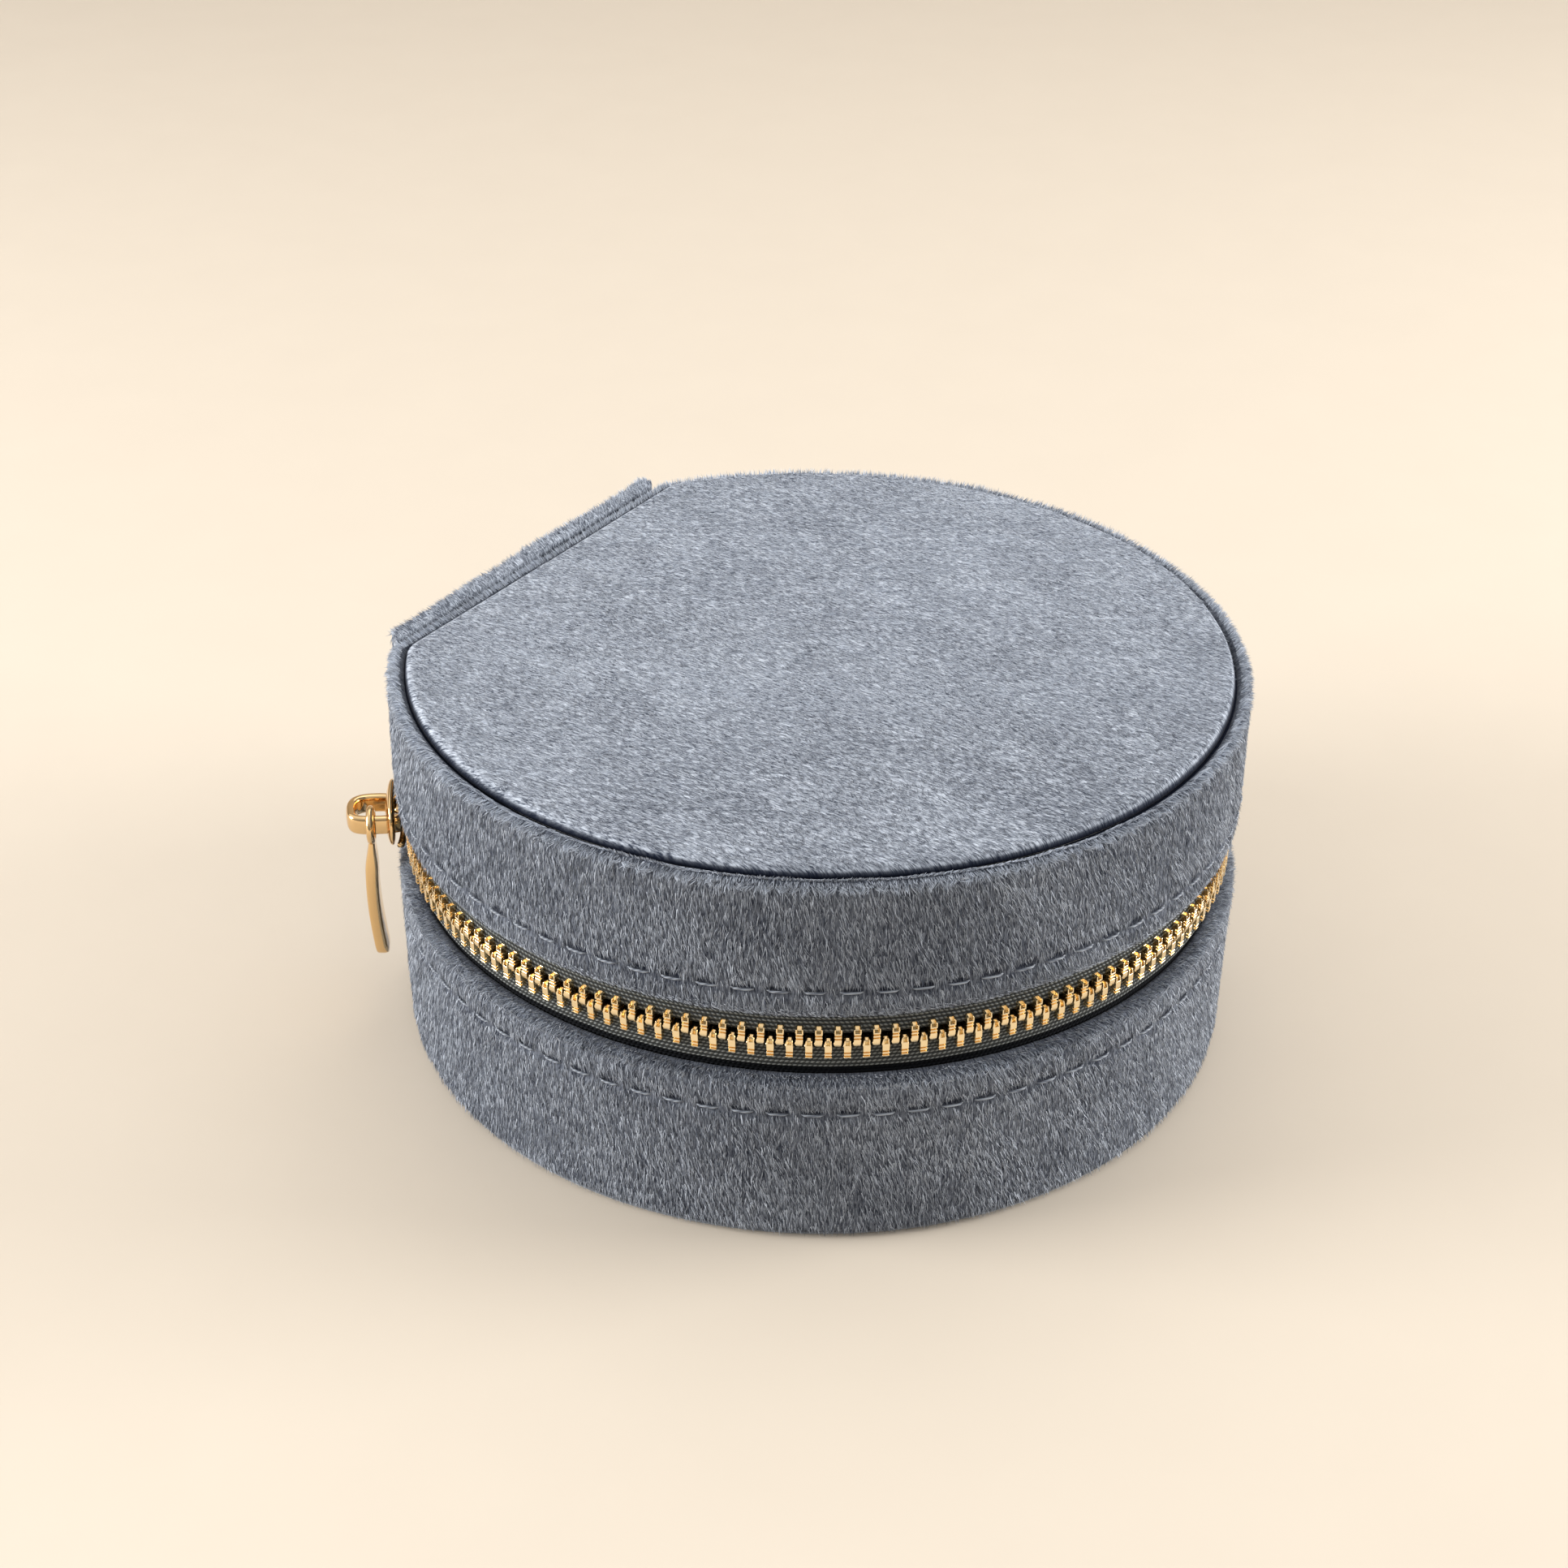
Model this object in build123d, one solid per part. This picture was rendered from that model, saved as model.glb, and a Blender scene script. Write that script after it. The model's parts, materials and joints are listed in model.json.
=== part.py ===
from build123d import *
import math
import os

# A round travel jewellery case with a flat, hinged back. Base and lid are board shells covered in velvet,
# closed by a metal zip that runs round the front from one end of the flat back to the other.
#
# Millimetres. The origin is on the case's round axis, in the plane that the case stands on.
# +Z is up, +Y points out of the flat back and -Y out of the front. Angles go round +Z from +X.
# An "inset" is how far a D-shaped outline lies inside the outer face of the walls.

# ---- driving dimensions ----
# Outline
body_radius = 52.5          # outer radius of the walls
back_flat = 44.0            # from the round axis to the outer face of the flat back wall
corner_radius = 3.0         # where the round wall turns into the flat back

# Heights
base_height = 22.9          # standing plane to the base's rim
rim_gap = 7.8               # base rim to lid rim, where the zip shows
lid_height = 17.9           # lid rim to the crest of the lid's top edge
zip_rise = 0.4              # the chain's middle above the middle of the rim gap

# Sheets and boards
glue = 0.05                 # glue line between two layers
velvet = 0.8
side_board = 0.9
flat_board = 1.6
tape = 0.6
lining = 0.5
floor_foam = 1.0
lid_foam = 1.1
seam_gap = 0.7              # groove between the lid's rolled edge and its top panel
edge_round = 1.1            # roll of the velvet over the lid's top edge
foot_round = 0.5            # roll of the velvet at the base's lower edge
foot_lift = 0.4             # lower edge of the side velvet above the standing plane
panel_edge = 0.7            # thickness of the top panel at its edge
panel_crown = 1.0           # rise of the top panel's middle over its edge

# Zip
tape_reach = 6.0            # how far each tape goes down inside its wall
tape_edge = 1.0             # from the chain's middle to the edge of each tape
tape_corner_margin = 0.3    # degrees between the corner's roll and the part of the tape inside the wall
tape_rim_clearance = 0.1    # the tape's narrow ends start this far from the rim
tooth_pitch = 2.145         # along one row
tooth_thickness = 0.8       # along the chain
tooth_reach = 0.42          # how far a tooth's head passes the chain's middle
tooth_leg = 1.95            # from the chain's middle to the end of the legs
tooth_out = 1.25            # outwards from the tape's middle
tooth_in = 1.0              # inwards from the tape's middle
tooth_head_slim = 0.35      # the head is this much thinner than the legs on each face
tooth_neck = 0.75           # from the chain's middle to where a head widens into its legs
tooth_slot = 0.9            # from the chain's middle to the bottom of the slot for the tape
stop_length = 1.1
stop_out = 0.9              # a stop's half thickness through the tape
top_stop_near = 0.4         # from the chain's middle to the near end of each top stop
bottom_stop_past = 0.6      # how far the bottom stop reaches past the chain's middle
stop_gap = 0.45             # between a stop and the slider at the end of its travel

# Slider, bridge and pull tab
slider_length = 8.4
slider_height = 6.4
slider_tail_height = 5.4    # at the end that the closed chain leaves by
slider_overrun = 1.2        # how far the slider's mouth passes the corner's roll when the case is shut
slider_plate = 1.0
slider_corner = 1.3
slider_clearance = 0.4      # between a plate and the teeth
slider_inner_clearance = 0.5
flange_clearance = 0.45     # between a flange and the tape
flange_width = 0.6
neck_height = 1.2
neck_length = 2.0
neck_setback = 0.7
travel_end_margin = 7.92    # degrees from the far corner's roll to the slider when the zip is open
bridge_length = 6.3
bridge_rise = 5.9           # from the outer plate
bridge_band = 1.2
bridge_width = 2.5
bridge_corner = 2.0
bridge_hole_corner = 0.9
pull_length = 18.5          # from the eye's centre to the lower end
pull_thickness = 1.6
pull_width = 4.4
pull_neck_width = 3.2
pull_end_round = 1.2
pull_bow = 0.5
pull_lower_lean = 0.4       # how much nearer the wall the lower end hangs
pull_eye_radius = 2.55
pull_eye_clearance = 0.25   # between the eye and the corners of the bridge's arm
pull_from_plate = 1.9       # from the outer plate to the tab's inner face at the eye

# Hinge strip
strip_thickness = 1.9
strip_margin = 1.0          # from the corner's roll to the end of the strip
strip_foot = 1.5            # lower edge of the strip above the standing plane
strip_top = 0.8             # how far the strip stands above the lid's crest
strip_end_round = 0.7
fold_web = 1.2
fold_gap = 0.1
inner_strip_margin = 4.2
inner_strip_reach = 5.0     # how far the inner strip laps the lid's lining
inner_strip_above_rolls = 0.95

# Inside
divider = 1.1
divider_drop = 3.4          # from the base's rim down to the top of the dividers
seat = 0.1                  # loose fit of a divider or foam between its neighbours
roll_count = 4
roll_diameter = 8.8
roll_gap = 0.3
roll_foam = 4.0
roll_end_gap = 0.3
mirror_thickness = 1.5
mirror_border = 8.0         # width of the padded frame round the mirror
mirror_frame_thickness = 1.7
mirror_fit = 0.1

# ---- worked out from the driving dimensions ----
far = 4 * body_radius
board_out = velvet + glue
board_in = board_out + side_board
tape_out = board_in + glue
tape_in = tape_out + tape
lining_out = tape_in + glue
lining_in = lining_out + lining
lid_rim = base_height + rim_gap
crest = lid_rim + lid_height
chain_z = base_height + rim_gap / 2 + zip_rise
tape_radius = body_radius - (tape_out + tape_in) / 2
tooth_out_radius = tape_radius + tooth_out
corner_from_back = math.degrees(
    math.acos((back_flat - corner_radius) / (body_radius - corner_radius))
)
corner_x = math.sqrt((body_radius - corner_radius) ** 2 - (back_flat - corner_radius) ** 2)
half_slider_angle = math.degrees(slider_length / 2 / tape_radius)
slider_angle = 90 + corner_from_back + half_slider_angle - math.degrees(slider_overrun / tape_radius)
slider_end_angle = 450 - corner_from_back - travel_end_margin
plate_inner = tooth_out_radius + slider_clearance
plate_outer = plate_inner + slider_plate
back_plate_outer = tape_radius - tooth_in - slider_inner_clearance
hinge_y = back_flat + glue + strip_thickness / 2
hinge_z = base_height + rim_gap / 2
strip_half = corner_x - strip_margin
floor_z = velvet + glue + flat_board + glue + floor_foam + glue + lining
foam_high = crest - velvet - 2 * glue
board_high = foam_high - lid_foam - glue
lid_lining_high = board_high - flat_board - glue
lid_ceiling = lid_lining_high - lining
divider_top = base_height - divider_drop


def outline(inset):
    """A D-shaped face: a circle cut by the flat back, with the two corners rolled."""
    radius = body_radius - inset
    flat = back_flat - inset
    corner = max(corner_radius - inset, 0.3)
    centre_y = flat - corner
    centre_x = math.sqrt((radius - corner) ** 2 - centre_y**2)
    reach = radius / (radius - corner)
    mid = (math.pi / 2 + math.atan2(centre_y, centre_x)) / 2
    mid_x = centre_x + corner * math.cos(mid)
    mid_y = centre_y + corner * math.sin(mid)
    end = (centre_x * reach, centre_y * reach)
    start = (-end[0], end[1])
    edges = [
        Line((centre_x, flat), (-centre_x, flat)),
        ThreePointArc((-centre_x, flat), (-mid_x, mid_y), start),
        ThreePointArc(start, (0, -radius), end),
        ThreePointArc(end, (mid_x, mid_y), (centre_x, flat)),
    ]
    return make_face(Wire(edges))


def slab(inset, low, high):
    """A D-shaped plate between two heights."""
    return Pos(0, 0, low) * extrude(outline(inset), high - low)


def ring(inset_out, inset_in, low, high):
    """A D-shaped wall between two heights."""
    return slab(inset_out, low, high) - slab(inset_in, low - 1, high + 1)


def box(x, y, z):
    """A block given by its low and high limits along each axis."""
    size = (x[1] - x[0], y[1] - y[0], z[1] - z[0])
    return Pos((x[0] + x[1]) / 2, (y[0] + y[1]) / 2, (z[0] + z[1]) / 2) * Box(*size)


def arc_band(radius_in, radius_out, low, high, start, end):
    """A wall that follows the round side from one angle to another, under a full turn."""
    profile = Plane.XZ * Rectangle(radius_out - radius_in, high - low)
    placed = Pos((radius_in + radius_out) / 2, 0, (low + high) / 2) * profile
    return Rot(0, 0, start) * revolve(placed, Axis.Z, end - start)


def outer_edges(solid, z):
    """The edges of a D-shaped solid's outer face at one height."""
    level = solid.edges().filter_by_position(Axis.Z, z - 0.01, z + 0.01)
    half_in = velvet / 2
    return [e for e in level if on_outer_face(e @ 0.5, half_in)]


def on_outer_face(point, tolerance):
    """Whether a point lies within the tolerance of the walls' outer face."""
    near_round = abs(math.hypot(point.X, point.Y) - body_radius) < tolerance
    near_flat = abs(point.Y - back_flat) < tolerance
    in_corner = math.hypot(abs(point.X) - corner_x, point.Y - (back_flat - corner_radius))
    near_corner = abs(in_corner - corner_radius) < tolerance and abs(point.X) > corner_x
    return near_round or near_flat or near_corner


# ---- base ----
def base_bottom_cover():
    return slab(board_out, 0, velvet)


def base_bottom_board():
    low = velvet + glue
    return slab(board_out, low, low + flat_board)


def base_side_board():
    low = velvet + glue + flat_board + glue
    return ring(board_out, board_in, low, base_height - velvet - glue)


def base_velvet_side():
    wall = ring(0, velvet, foot_lift, base_height)
    rim = ring(velvet / 2, board_in, base_height - velvet, base_height)
    sleeve = wall + rim
    return fillet(outer_edges(sleeve, foot_lift), foot_round)


def base_floor_pad():
    low = velvet + glue + flat_board + glue
    return slab(tape_out, low, low + floor_foam)


def base_lining():
    cup = slab(lining_out, floor_z - lining, base_height - glue)
    return cup - slab(lining_in, floor_z, base_height + 1)


# ---- what the base holds ----
roll_back_y = back_flat - lining_in - seat
roll_front_y = roll_back_y - roll_count * (roll_diameter + roll_gap)
cross_y = roll_front_y - seat
side_x = corner_x - inner_strip_margin + 2 * seat
stand_z = floor_z + glue
roll_middle = stand_z + roll_foam + glue + roll_diameter / 2
roll_top = roll_middle + roll_diameter / 2


def half_chord(y, inset):
    """Half the width of the round part of an inset outline at one y."""
    return math.sqrt((body_radius - inset) ** 2 - y**2)


def cross_divider():
    front_y = cross_y - divider
    reach = min(half_chord(front_y, lining_in + seat), half_chord(cross_y, lining_in + seat))
    return box((-reach, reach), (front_y, cross_y), (stand_z, divider_top))


def front_divider():
    front = half_chord(divider / 2, lining_in + seat)
    span = (-front, cross_y - divider - seat)
    return box((-divider / 2, divider / 2), span, (stand_z, divider_top))


def side_divider(side):
    near = side_x if side > 0 else -side_x - divider
    back = back_flat - lining_in - seat
    return box((near, near + divider), (cross_y + seat, back), (stand_z, divider_top))


def ring_roll_foam():
    reach = side_x - seat
    return box((-reach, reach), (roll_front_y + seat, roll_back_y), (stand_z, stand_z + roll_foam))


def ring_roll(number):
    y = roll_front_y + (number + 0.5) * (roll_diameter + roll_gap)
    length = 2 * (side_x - roll_end_gap)
    return Pos(0, y, roll_middle) * Rot(0, 90, 0) * Cylinder(roll_diameter / 2, length)


# ---- lid ----
def lid_velvet_side():
    wall = ring(0, velvet, lid_rim, crest)
    lower_roll = ring(velvet / 2, board_in, lid_rim, lid_rim + velvet)
    upper_roll = ring(velvet / 2, board_in, crest - velvet, crest)
    sleeve = wall + lower_roll + upper_roll
    return fillet(outer_edges(sleeve, crest), edge_round)


def lid_side_board():
    return ring(board_out, board_in, lid_rim + velvet + glue, crest - velvet - glue)


def lid_top_panel():
    """The padded panel: a D-shaped plate under a wide, shallow dome."""
    low = crest - velvet - glue
    inset = board_in + seam_gap
    reach = body_radius - inset
    rise = panel_crown
    dome = (reach**2 + rise**2) / (2 * rise)
    top = low + panel_edge + rise
    return slab(inset, low, top + 1) & (Pos(0, 0, top - dome) * Sphere(dome))


def lid_foam_pad():
    return slab(tape_out + 2 * glue, foam_high - lid_foam, foam_high)


def lid_top_board():
    return slab(tape_out, board_high - flat_board, board_high)


def lid_lining():
    cup = slab(lining_out, lid_rim + glue, lid_lining_high)
    return cup - slab(lining_in, lid_rim - 1, lid_ceiling)


def mirror_frame():
    high = lid_ceiling - glue
    return ring(lining_in + glue, lining_in + mirror_border, high - mirror_frame_thickness, high)


def mirror():
    high = lid_ceiling - glue
    return slab(lining_in + mirror_border + mirror_fit, high - mirror_thickness, high)


# ---- hinge ----
def strip_panel(low, high):
    """One half of the velvet strip over the flat back, its upright ends rolled."""
    near = back_flat + glue
    panel = box((-strip_half, strip_half), (near, near + strip_thickness), (low, high))
    ends = panel.edges().filter_by(Axis.Z).sort_by(Axis.Y)[-2:]
    return fillet(ends, strip_end_round)


def hinge_strip_base():
    return strip_panel(strip_foot, base_height)


def hinge_strip_lid():
    return strip_panel(lid_rim, crest + strip_top)


def hinge_fold():
    """The free part of the strip between the rims, with a rolled bead on the hinge axis."""
    near = hinge_y - fold_web / 2
    web = box(
        (-strip_half, strip_half),
        (near, near + fold_web),
        (base_height + fold_gap, lid_rim - fold_gap),
    )
    bead = Pos(0, hinge_y, hinge_z) * Rot(0, 90, 0) * Cylinder(strip_thickness / 2, 2 * strip_half)
    return web + bead


def hinge_inner_strip():
    high = back_flat - lining_in - glue
    reach = corner_x - inner_strip_margin
    return box(
        (-reach, reach),
        (high - lining, high),
        (roll_top + inner_strip_above_rolls, lid_rim + inner_strip_reach),
    )


# ---- zip ----
tape_in_wall_start = 90 + corner_from_back + tape_corner_margin
tape_in_wall_end = 450 - corner_from_back - tape_corner_margin
stop_angle = math.degrees(stop_length / tape_radius)
gap_angle = math.degrees(stop_gap / tape_radius)
top_stop_end = slider_angle - half_slider_angle - gap_angle
top_stop_start = top_stop_end - stop_angle
bottom_stop_start = slider_end_angle + half_slider_angle + gap_angle
bottom_stop_end = bottom_stop_start + stop_angle
tape_start = top_stop_start - gap_angle
tape_end = bottom_stop_end + gap_angle


def zip_tape(side):
    """One woven tape: a wide part inside the wall and a free edge in the gap; side is 1 for the lid."""
    inner = body_radius - tape_in
    outer = body_radius - tape_out
    rim = lid_rim if side > 0 else base_height
    edge = chain_z + side * tape_edge
    wall_part = sorted((rim + side * tape_reach, edge))
    free_part = sorted((rim - side * tape_rim_clearance, edge))
    band = arc_band(inner, outer, *wall_part, tape_in_wall_start, tape_in_wall_end)
    lead = arc_band(inner, outer, *free_part, tape_start, tape_end)
    return band + lead


def zip_tooth(side):
    """One tooth at angle 0: two legs either side of the tape and a slimmer head past the middle."""
    slot = tape / 2 + glue
    outer = tooth_out
    inner = -tooth_in
    head = -side * tooth_reach
    neck = side * tooth_neck
    root = side * tooth_slot
    leg = side * tooth_leg
    points = [
        (inner + tooth_head_slim, head),
        (outer - tooth_head_slim, head),
        (outer, neck),
        (outer, leg),
        (slot, leg),
        (slot, root),
        (-slot, root),
        (-slot, leg),
        (inner, leg),
        (inner, neck),
    ]
    face = Plane.XZ * make_face(Polyline(points + points[:1]))
    return Pos(tape_radius, tooth_thickness / 2, chain_z) * extrude(face, tooth_thickness)


tooth_step = math.degrees(tooth_pitch / tooth_out_radius)
teeth_start = slider_angle + half_slider_angle + gap_angle
teeth_end = bottom_stop_start - gap_angle
tooth_pairs = int((teeth_end - teeth_start) / tooth_step - 1)


def zip_teeth(side):
    """A row of equal teeth; the two rows lie half a pitch apart."""
    tooth = zip_tooth(side)
    first = teeth_start + tooth_step * (0.5 if side > 0 else 1.0)
    turns = [first + tooth_step * i for i in range(tooth_pairs)]
    return Compound([Rot(0, 0, turn) * tooth for turn in turns])


def zip_stop(side, start, low_reach, high_reach):
    """A metal clip pinched on one tape, from one distance to another from the chain's middle."""
    levels = sorted((chain_z + side * low_reach, chain_z + side * high_reach))
    clip = arc_band(
        tape_radius - stop_out, tape_radius + stop_out, *levels, start, start + stop_angle
    )
    slot_levels = sorted((chain_z + side * tooth_slot, chain_z + side * (high_reach + 1)))
    slot = arc_band(
        tape_radius - tape / 2 - glue,
        tape_radius + tape / 2 + glue,
        *slot_levels,
        start - 1,
        start + stop_angle + 1,
    )
    return clip - slot


# ---- slider, at angle 0: X runs outwards and Y along the chain towards the closed side ----
def slider_outline():
    """The plates' shape seen from outside: wide at the mouth, narrower at the tail."""
    half = slider_length / 2
    wide = slider_height / 2
    narrow = slider_tail_height / 2
    points = [(-half, -wide), (0, -wide), (half, -narrow), (half, narrow), (0, wide), (-half, wide)]
    face = make_face(Polyline(points + points[:1]))
    return fillet(face.vertices(), slider_corner)


def at_slider(solid):
    """Turn a piece made at angle 0 to the slider's place when the case is shut."""
    return Rot(0, 0, slider_angle) * solid


def slider():
    shape = slider_outline()
    front_low = body_radius - tape_out + flange_clearance
    back_high = body_radius - tape_in - flange_clearance
    back_low = back_plate_outer - slider_plate
    centred = Pos(0, 0, chain_z)
    core = offset(shape, -flange_width, kind=Kind.INTERSECTION)
    front = centred * (Plane.YZ.offset(plate_inner) * shape)
    front_plate = extrude(front, slider_plate)
    front_rim = centred * (Plane.YZ.offset(front_low) * (shape - core))
    back = centred * (Plane.YZ.offset(back_low) * shape)
    back_plate = extrude(back, slider_plate)
    back_rim = centred * (Plane.YZ.offset(back_plate_outer) * (shape - core))
    rims = extrude(front_rim, plate_inner - front_low) + extrude(back_rim, back_high - back_plate_outer)
    half = slider_length / 2
    channel = box(
        (back_plate_outer, plate_inner),
        (-half - 1, half + 1),
        (chain_z - slider_tail_height / 2 + flange_width, chain_z + slider_tail_height / 2 - flange_width),
    )
    mouth = box(
        (back_plate_outer, plate_inner),
        (-half - 1, 0),
        (chain_z - slider_height / 2 + flange_width, chain_z + slider_height / 2 - flange_width),
    )
    neck_start = -half + neck_setback
    neck = box(
        (back_plate_outer - glue, plate_inner + glue),
        (neck_start, neck_start + neck_length),
        (chain_z - neck_height / 2, chain_z + neck_height / 2),
    )
    shell = front_plate + back_plate + (rims - channel - mouth) + neck
    return at_slider(shell)


def slider_bridge():
    """The closed loop on the outer plate that holds the pull tab."""
    half = bridge_length / 2
    outer = Pos(plate_outer + bridge_rise / 2 - 1, 0) * RectangleRounded(
        bridge_rise + 2, bridge_length, bridge_corner
    )
    hole_depth = bridge_rise - bridge_band
    hole = Pos(plate_outer + hole_depth / 2 - 1, 0) * RectangleRounded(
        hole_depth + 2, bridge_length - 2 * bridge_band, bridge_hole_corner
    )
    band = Pos(0, 0, chain_z - bridge_width / 2) * extrude(outer - hole, bridge_width)
    below = box((0, plate_outer), (-half - 1, half + 1), (0, crest))
    return at_slider(band - below)


# ---- pull tab ----
arm_y = bridge_length / 2 - bridge_band / 2
pull_mid = plate_outer + pull_from_plate + pull_thickness / 2


def pull_plan():
    """The tab's shape seen from outside, with its eye at the origin and its length along -Y."""
    eye = Circle(pull_eye_radius)
    neck = pull_neck_width / 2
    wide = pull_width / 2
    points = [
        (-neck, 0),
        (-wide, -pull_length * 0.45),
        (-wide, -pull_length),
        (wide, -pull_length),
        (wide, -pull_length * 0.45),
        (neck, 0),
    ]
    blade = make_face(Polyline(points + points[:1]))
    low = blade.vertices().sort_by(Axis.Y)[:2]
    blade = fillet(low, pull_end_round)
    half_diagonal = math.hypot(bridge_band, bridge_width) / 2
    return eye + blade - Circle(half_diagonal + pull_eye_clearance)


def pull_side():
    """The tab's bowed side view: X runs outwards and Y up, with the eye's centre at height 0."""
    top = pull_eye_radius
    low = -pull_length
    middle = (top + low) / 2
    half = pull_thickness / 2
    faces = []
    for shift in (-half, half):
        start = (pull_mid + shift, top)
        through = (pull_mid + pull_bow + shift, middle)
        end = (pull_mid - pull_lower_lean + shift, low)
        faces.append((start, through, end))
    inner, outer = faces
    edges = [
        ThreePointArc(*inner),
        Line(inner[2], outer[2]),
        ThreePointArc(*outer[::-1]),
        Line(outer[0], inner[0]),
    ]
    return make_face(Wire(edges))


def pull_tab():
    plan = Pos(0, arm_y, chain_z) * (Plane.YZ * pull_plan())
    outward = extrude(plan, far)
    side = Pos(0, arm_y, chain_z) * (Plane.XZ * pull_side())
    across = extrude(side, pull_width, both=True)
    return at_slider(outward & across)


sub_parts = {
    "base_bottom_cover": base_bottom_cover(),
    "base_bottom_board": base_bottom_board(),
    "base_side_board": base_side_board(),
    "base_velvet_side": base_velvet_side(),
    "base_floor_pad": base_floor_pad(),
    "base_lining": base_lining(),
    "cross_divider": cross_divider(),
    "front_divider": front_divider(),
    "side_divider_left": side_divider(-1),
    "side_divider_right": side_divider(1),
    "ring_roll_foam": ring_roll_foam(),
    "lid_velvet_side": lid_velvet_side(),
    "lid_side_board": lid_side_board(),
    "lid_top_panel": lid_top_panel(),
    "lid_foam_pad": lid_foam_pad(),
    "lid_top_board": lid_top_board(),
    "lid_lining": lid_lining(),
    "mirror_frame": mirror_frame(),
    "mirror": mirror(),
    "hinge_strip_base": hinge_strip_base(),
    "hinge_strip_lid": hinge_strip_lid(),
    "hinge_fold": hinge_fold(),
    "hinge_inner_strip": hinge_inner_strip(),
    "lower_zip_tape": zip_tape(-1),
    "upper_zip_tape": zip_tape(1),
    "lower_zip_teeth": zip_teeth(-1),
    "upper_zip_teeth": zip_teeth(1),
    "lower_top_stop": zip_stop(-1, top_stop_start, top_stop_near, tooth_leg),
    "upper_top_stop": zip_stop(1, top_stop_start, top_stop_near, tooth_leg),
    "bottom_stop": zip_stop(-1, bottom_stop_start, -bottom_stop_past, tooth_leg),
    "slider": slider(),
    "slider_bridge": slider_bridge(),
    "pull_tab": pull_tab(),
}
for roll in range(roll_count):
    sub_parts[f"ring_roll_{roll + 1}"] = ring_roll(roll)

os.makedirs("parts", exist_ok=True)
for name, solid in sub_parts.items():
    export_step(solid, f"parts/{name}.step")
print("slider angle at rest", round(slider_angle, 2), "travel", round(slider_end_angle - slider_angle, 2))
print("hinge axis y, z", round(hinge_y, 3), round(hinge_z, 3))
print("pull pivot: along", round(arm_y, 3), "z", round(chain_z, 3), "teeth per row", tooth_pairs)
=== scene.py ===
import json
import math

import bmesh
import bpy
import numpy as np
from mathutils import Matrix, Vector


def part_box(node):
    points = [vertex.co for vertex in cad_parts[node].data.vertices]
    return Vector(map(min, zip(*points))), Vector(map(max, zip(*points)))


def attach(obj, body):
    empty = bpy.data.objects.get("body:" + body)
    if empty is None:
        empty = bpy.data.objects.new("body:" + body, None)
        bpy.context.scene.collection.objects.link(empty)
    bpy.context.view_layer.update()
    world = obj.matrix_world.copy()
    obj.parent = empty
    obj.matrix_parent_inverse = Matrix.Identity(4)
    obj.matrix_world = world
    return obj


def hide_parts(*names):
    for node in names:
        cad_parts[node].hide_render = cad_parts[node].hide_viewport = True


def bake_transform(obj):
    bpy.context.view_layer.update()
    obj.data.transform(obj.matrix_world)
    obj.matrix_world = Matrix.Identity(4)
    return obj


# The looks of a round velvet jewellery case with a flat hinged back, a metal zip and a mirror in the lid.
# Lengths are millimetres until a mesh is written, which is in metres. +Y points out of the flat back.

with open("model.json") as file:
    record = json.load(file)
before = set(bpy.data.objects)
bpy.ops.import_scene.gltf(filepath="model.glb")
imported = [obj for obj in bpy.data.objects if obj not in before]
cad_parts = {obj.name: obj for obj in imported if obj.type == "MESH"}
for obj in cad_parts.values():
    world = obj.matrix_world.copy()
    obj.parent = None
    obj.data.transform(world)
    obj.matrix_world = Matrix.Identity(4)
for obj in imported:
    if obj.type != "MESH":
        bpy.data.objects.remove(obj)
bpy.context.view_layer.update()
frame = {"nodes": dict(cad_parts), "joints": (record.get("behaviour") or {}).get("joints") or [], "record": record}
MM = 0.001


def node_box(name):
    """Lowest and highest corner of a CAD node, in millimetres."""
    low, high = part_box(name)
    return np.array(low) / MM, np.array(high) / MM


joints = {joint["name"]: joint for joint in frame["joints"]}
LID_LOW, LID_HIGH = node_box("lid_velvet_side")
BASE_LOW, BASE_HIGH = node_box("base_velvet_side")
STRIP_LOW, _ = node_box("hinge_strip_base")
_, STRIP_HIGH = node_box("hinge_strip_lid")
PANEL_LOW, PANEL_HIGH = node_box("lid_top_panel")
TAPE_OUT = node_box("lower_zip_tape")[1][0]

RADIUS = LID_HIGH[0]
FLAT = LID_HIGH[1]
CREST = LID_HIGH[2]
LID_RIM = LID_LOW[2]
BASE_RIM = BASE_HIGH[2]
FOOT = BASE_LOW[2]
CORNER = 3.0
PANEL_INSET = RADIUS - PANEL_HIGH[0]
PLAN_MIDDLE = np.array([0.0, -2.0])
CHAIN_Z = joints["slider_travel"]["pos_m"][2] / MM
HINGE_Y, HINGE_Z = (value / MM for value in joints["lid_hinge"]["pos_m"][1:])
SLIDER_ANGLE = math.atan2(joints["pull_swing"]["axis"][1], joints["pull_swing"]["axis"][0])


# ---- numbers on a surface ----
LATTICE = 256
THREE_LAYERS = 1 + 1 / 2 + 1 / 4


def lattice_noise(x, y, seed):
    """Smooth noise from -1 to 1: random heights on a whole-number lattice, blended across each cell
    by the curve 3t^2 - 2t^3 of the place inside it."""
    table = np.random.default_rng(seed).uniform(-1, 1, (LATTICE + 1, LATTICE + 1))
    column, row = np.floor(x).astype(int), np.floor(y).astype(int)
    s, t = x - column, y - row
    s, t = s * s * (3 - 2 * s), t * t * (3 - 2 * t)
    column, row = column % LATTICE, row % LATTICE
    near = table[column, row] * (1 - s) + table[column + 1, row] * s
    far = table[column, row + 1] * (1 - s) + table[column + 1, row + 1] * s
    return near * (1 - t) + far * t


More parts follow.
